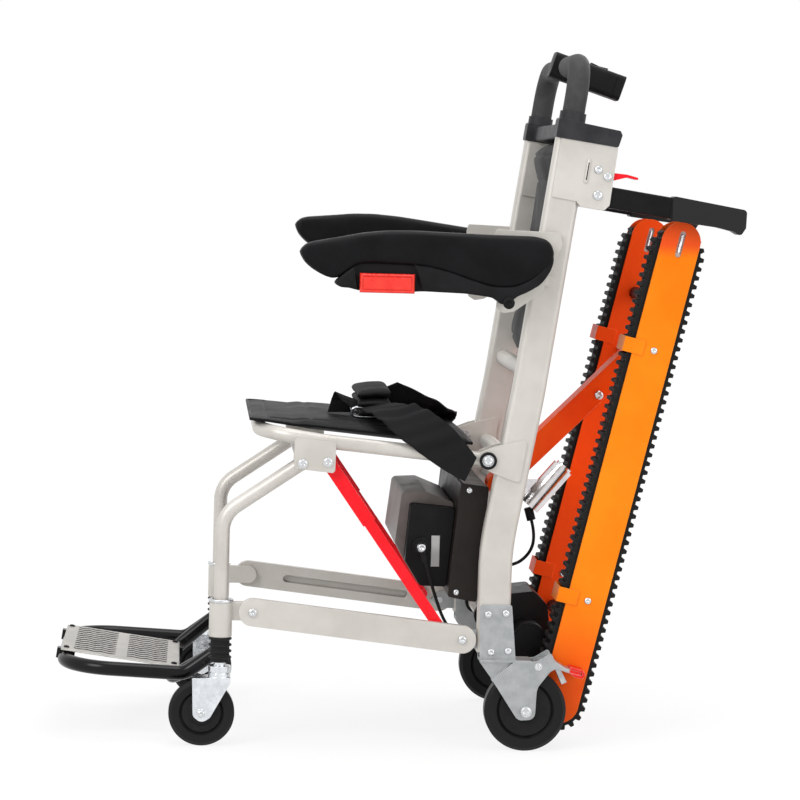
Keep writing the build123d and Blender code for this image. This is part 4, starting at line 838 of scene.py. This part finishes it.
# each head: x, depth, height, radius, rise and, if not outward, the way it faces
screwSpots = {
    "chassis": [(233, -68, 443, 8.6, 6.2), (233, *liftBolt, 7.6, 3.4), (233, *releaseBolt, 6.6, 3.2),
                (233, *plateBolt, 6.4, 3.2), (240, 0, 62.5, 9.0, 5.6), (240, 17, 131.5, 5.4, 2.8),
                (233, -61, 209, 5.6, 3.0), (233, -34, 211, 5.6, 3.0), (233, -55, 151, 5.6, 3.0),
                (233, -29, 153, 5.6, 3.0), (190, -91, 393, 4.6, 2.2), (190, -107, 236, 4.6, 2.2)],
    "link": [(231.6, -99, 169, 6.6, 2.8), (231.6, -418, 205, 6.6, 2.8), (217.7, -418, 205, 6.4, 2.0, inward),
             (217.7, -99, 169, 6.4, 2.0, inward)],
    "seat": [(231.8, -348, 433, 7.2, 3.4), (231.8, -310, 436, 7.2, 3.4)],
    "tracks": [(x, *clip, 5.4, 2.6, way) for x, way in ((190, outward), (130, inward))
               for clip in (clipLow, clipHigh)],
}
bandRings = [(14.6, 0.0), (18.2, 0.0), (18.7, 1.0), (18.7, 4.0), (18.0, 5.0), (14.6, 5.0), (14.6, 0.0)]


def makeScrews():
    for owner, spots in screwSpots.items():
        parts = screwHeads(spots)
        for label, heads in (("left", parts), ("right", mirrorX(parts))):
            body = owner + "_" + label if owner == "link" else owner
            makePiece("screws_" + owner + "_" + label, heads, "turnedStainless", body)
    for label, side in (("left", 1.0), ("right", -1.0)):
        fork = screwHeads([(side * 236.4, -492, 50, 5.6, 2.0, (side, 0, 0))])
        makePiece("forkScrew_" + label, fork, "turnedStainless", "caster_fork_" + label)
        band = plainRings(bandRings, (side * 217.5, -466, 219), (0, 0, 1))
        makePiece("sleeveBand_" + label, [band], "turnedStainless", "legs")
    stayScrews = screwHeads([(24.8, 125.6, 531.8, 7.0, 3.0), (-24.8, 125.6, 531.8, 7.0, 3.0, inward)])
    makePiece("screws_stay", stayScrews, "turnedStainless", "stay")
    for label, turn in armSides:
        cap = screwHeads([(285.0, *armSet["pivot"], 8.8, 2.4)])
        makePiece("armPivotCap_" + label, turn(cap), "mouldedAbs", "armrest_" + label)


makeScrews()
print("screws made")

# small fittings: hinge rings, a gland round the plug, a blank plate, beads on the side plates, and the tracks'
# slot plates with their tension rods
fittingSet = {
    "hingeRing": [(8.8, 0.0), (8.8, 4.6), (10, 5.2), (12.2, 5.2), (13.2, 4.2), (13.2, 0.0), (8.8, 0.0)],
    "gland": [(0.0, 0.0), (7.4, 0.0), (7.4, 2.6), (6.0, 3.2), (6.0, 5.4), (5.0, 6.0), (2.4, 6.0), (2.0, 4.0),
              (0.0, 4.0)],
    "thread": 2.2,
    "pitch": 1.6,
    "slotRun": (708.0, 750.0),
    "slotHalf": (8.0, 27.0),
    "slots": ((186.6, 188.8), (133.4, 131.2)),
    "beads": (("plateBead", 233.4, (-24, -62), 3.0, "powderCoatedAluminium", "painted aluminium"),
              ("plateSlot", 235.3, (-29, -57), 1.3, "mouldedAbs", "black plastic")),
}


def flatBlock(centre, half, count=28):
    # rounded plate facing along X, by the pillow rule on a square grid
    a, b = spread(count, count)
    y, z = centre[1] + half[1] * a, centre[2] + half[2] * b
    front, rear = (joined(centre[0] + reach, y, z) for reach in (half[0], -half[0]))
    return pillow(front, rear, 10)[0]


def capsule(low, high, radius, count=18):
    # round bar with domed ends between two points
    long = np.linalg.norm(high - low)
    dome = [(radius * math.sin(t), radius - radius * math.cos(t)) for t in np.linspace(0, np.pi / 2, 7)]
    return plainRings(dome + [(r, long - h) for r, h in reversed(dome)], low, high - low, count)


def threadedRod(low, high):
    # rod whose radius rises and falls with its thread
    count = int(np.linalg.norm(high - low) / fittingSet["pitch"]) * 4
    grid, faces = roundTube(np.linspace(low, high, count), fittingSet["thread"], 12)
    inner = grid[1:-1]
    middle = inner.mean(1, keepdims=True)
    swell = 1 + 0.12 * np.cos(np.arange(count) * np.pi / 2)
    grid[1:-1] = middle + (inner - middle) * swell[:, None, None]
    return grid, faces


def makeFittings():
    low, high = fittingSet["slotRun"]
    across, along = fittingSet["slotHalf"]
    a, b = spread(24, 24)
    for label, side in (("left", 1.0), ("right", -1.0)):
        ring = [plainRings(fittingSet["hingeRing"], (side * 232.8, -68, 443), (side, 0, 0))]
        makePiece("hingeRing_" + label, ring, "mouldedAbs", "chassis")
        for name, x, ends, radius, look, slotName in fittingSet["beads"]:
            bead = capsule(*leaned([(side * x, 29, end) for end in ends], topFrame), radius)
            makePiece(name + "_" + label, [bead], look, "chassis")
        plates, rods = [], []
        for x, rodX in fittingSet["slots"]:
            run = (low + high) / 2 + along * a
            front, rear = (leaned(joined(side * x + reach, across * b, run), trackFrame)
                           for reach in (0.3, -0.3))
            plates += pillow(front, rear, 20)[0]
            ends = leaned([(side * rodX, 0, low + 8), (side * rodX, 0, high - 6)], trackFrame)
            rods.append(threadedRod(*ends))
        makePiece("slotPlates_" + label, plates, "paleMoulding", "tracks")
        makePiece("tensionRods_" + label, rods, "brightZinc", "tracks")
    makePiece("cableGland", [plainRings(fittingSet["gland"], (171.0, -160, 302), outward)], "turnedStainless",
              "chassis")
    makePiece("blankPlate", flatBlock((150.2, -137.5, 294.0), (0.6, 6.5, 24.0)), "paleMoulding", "chassis")


makeFittings()
print("fittings made")

# tread plate of the footrest: wavy ridges in two fields, between plain bands
treadSet = {
    "origin": (-704.0, 112.0),
    "tip": math.atan2(-23.0, 166.0),
    "run": (-8.0, 175.6),
    "half": 127.0,
    "border": 118.0,
    "levels": (13.0, 17.0),
    "fields": ((10.0, 76.0), (92.0, 158.0)),
    "pitch": 19.0,
    "wave": (2.6, 24.0),
    "relief": 0.45,
    "grid": (130, 260),
}


def tipped(points):
    # points on the level tread, turned about X to its own tip
    x, y, z = np.moveaxis(np.asarray(points, float), -1, 0)
    c, s = math.cos(treadSet["tip"]), math.sin(treadSet["tip"])
    return joined(x, treadSet["origin"][0] + y * c - z * s, treadSet["origin"][1] + y * s + z * c)


def makeTread():
    # Ridges by the cosine of the distance across, which wanders by a sine of the distance along: where it is
    # low, and within a field, the top is sunk, and its faces there take the black rubber as painted shade in
    # the grooves.
    b, a = spread(*treadSet["grid"])
    low, high = treadSet["run"]
    under, level = treadSet["levels"]
    border, relief = treadSet["border"], treadSet["relief"]
    x = treadSet["half"] * a
    y = (low + high) / 2 + (high - low) / 2 * b
    field = sum(smooth(f[0], f[0] + 3, y) * smooth(-f[1], -f[1] + 3, -y) for f in treadSet["fields"])
    field = field * smooth(-border, 3 - border, -np.abs(x))
    reach, length = treadSet["wave"]
    comb = np.cos(2 * np.pi * (x + reach * np.sin(2 * np.pi * y / length)) / treadSet["pitch"])
    top = level - relief * field * (1 - smooth(-0.25, 0.15, comb))
    sheets = pillow(joined(x, y, top), joined(x, y, under), 24)[0]
    plate = makePiece("treadPlate", [(tipped(p), f) for p, f in sheets], "anodisedTread", "footrest",
                      ("tread_plate",))
    # painted shade: the black rubber goes on the sunk groove faces in place of the shadow in the grooves
    plate.data.materials.append(made["vulcanisedRubberAndPaintedShade"])
    centres = np.zeros(len(plate.data.polygons) * 3)
    plate.data.polygons.foreach_get("center", centres)
    across, y, z = (centres.reshape(-1, 3) * 1000).T
    c, s = math.cos(treadSet["tip"]), math.sin(treadSet["tip"])
    y, z = y - axleDepth * 1000 - treadSet["origin"][0], z - treadSet["origin"][1]
    along, up = y * c + z * s, z * c - y * s
    # the sunk faces within the fields, which get the painted shade
    sunk = (up < level - relief * 0.4) & (up > level - 1) & (np.abs(across) < border)
    sunk &= sum((along > f[0]) & (along < f[1]) for f in treadSet["fields"]) > 0
    plate.data.polygons.foreach_set("material_index", sunk.astype(np.int32))
    upward = tipped((0, 0, 1)) - tipped((0, 0, 0))
    heads = screwHeads([(*tipped((x, y, level)), 4.6, 2.4, upward) for x in (-108, 108) for y in (0, 168)])
    makePiece("treadScrews", heads, "mouldedAbs", "footrest")


makeTread()
print("tread made")

# armrest release bars: a bevelled rim round a sunk panel
buttonSet = {"middle": (-231.0, 709.0), "half": (41.0, 14.5), "faces": (277.0, 287.2), "rim": 4.4, "sunk": 2.8}


def makeButtons():
    # the face falls at its rim, dips in a groove round the panel, and lies a little lower inside
    a, b = spread(70, 40)
    low, high = buttonSet["faces"]
    rim = buttonSet["rim"]
    y, z = buttonSet["half"][0] * a, buttonSet["half"][1] * b
    edge = np.minimum(buttonSet["half"][0] - np.abs(y), buttonSet["half"][1] - np.abs(z))
    groove = np.exp(-((edge - rim) / 0.8) ** 2)
    face = high - 1.8 * smooth(-2.8, 0, -edge) - buttonSet["sunk"] * groove
    face = face - 0.6 * smooth(rim - 0.5, rim + 0.8, edge)
    y, z = y + buttonSet["middle"][0], z + buttonSet["middle"][1]
    parts = pillow(joined(face, y, z), joined(low, y, z), 30)[0]
    for label, turn in armSides:
        makePiece("armButton_" + label, turn(parts), "redAcetalWithPaintedHighlight", "arm_button_" + label,
                  ("arm_button_" + label,))


makeButtons()
print("buttons made")

# floor, light and world
stageSet = {"floor": 30.0, "floorColour": "#E9E9E8", "ambient": 0.6, "glowShare": 0.8, "glow": 1.04,
            "fade": (1.2, 3.6)}


def seenRay(tree):
    # 1 for camera, glossy and transmission rays, so that the light sources stay out of the picture
    ray = addNode(tree, "LightPath")
    seen = ray.outputs["Is Camera Ray"]
    for kind in ("Is Glossy Ray", "Is Transmission Ray"):
        seen = addNode(tree, "Math", links={0: seen, 1: ray.outputs[kind]}, operation="MAXIMUM").outputs[0]
    return seen


def makeFloor():
    # plaster that keeps the shadow near the object and fades to the white of the background further out
    reach = stageSet["floor"]
    data = bpy.data.meshes.new("floor")
    data.from_pydata([(-reach, -reach, 0), (reach, -reach, 0), (reach, reach, 0), (-reach, reach, 0)], [],
                     [(0, 1, 2, 3)])
    addObject("floor", data)
    paint, tree, shader = newMaterial("palePlasterFloor")
    shader.inputs["Base Color"].default_value = linear(stageSet["floorColour"])
    shader.inputs["Roughness"].default_value = 0.9
    shader.inputs["Specular IOR Level"].default_value = 0.1
    place = addNode(tree, "TexCoord").outputs["Object"]
    away = addNode(tree, "VectorMath", links={0: place}, operation="LENGTH").outputs["Value"]
    near, far = stageSet["fade"]
    level = addNode(tree, "MapRange", {"From Min": near, "From Max": far, "To Min": stageSet["glowShare"]},
                    {"Value": away}).outputs["Result"]
    share = addNode(tree, "Math", links={0: seenRay(tree), 1: level}, operation="MULTIPLY").outputs[0]
    glow = addNode(tree, "Emission", {"Color": (1, 1, 1, 1), "Strength": stageSet["glow"]})
    blend = addNode(tree, "MixShader", links={0: share, 1: shader.outputs[0], 2: glow.outputs[0]})
    tree.links.new(blend.outputs[0], tree.nodes["Material Output"].inputs["Surface"])
    data.materials.append(paint)


def makeWorld():
    world = bpy.data.worlds.new("studio")
    scene.world = world
    world.use_nodes = True
    tree = world.node_tree
    ambient = tree.nodes["Background"]
    ambient.inputs["Color"].default_value = (1, 1, 1, 1)
    ambient.inputs["Strength"].default_value = stageSet["ambient"]
    white = addNode(tree, "Background", {"Color": (1, 1, 1, 1), "Strength": 1.0})
    blend = addNode(tree, "MixShader", links={0: seenRay(tree), 1: ambient.outputs[0], 2: white.outputs[0]})
    tree.links.new(blend.outputs[0], tree.nodes["World Output"].inputs["Surface"])


lampSet = {
    "key": {"spot": (3.6, -3.4, 3.4), "size": 2.4, "power": 128},
    "fill": {"spot": (3.8, 3.6, 1.8), "size": 2.6, "power": 50},
    "top": {"spot": (0.2, 0.3, 4.0), "size": 2.4, "power": 60},
    "rim": {"spot": (-3.4, 2.2, 2.6), "size": 2.0, "power": 50},
}


def makeLamps():
    goal = Vector((0, 0, 0.5))
    for name, spec in lampSet.items():
        data = bpy.data.lights.new(name, "AREA")
        data.shape = "SQUARE"
        data.size = spec["size"]
        data.energy = spec["power"]
        item = addObject(name, data)
        spot = Vector(spec["spot"])
        item.matrix_world = (goal - spot).to_track_quat("-Z", "Y").to_matrix().to_4x4()
        item.matrix_world.translation = spot


makeFloor()
makeWorld()
makeLamps()
scene.view_settings.view_transform = "Standard"
print("stage made")
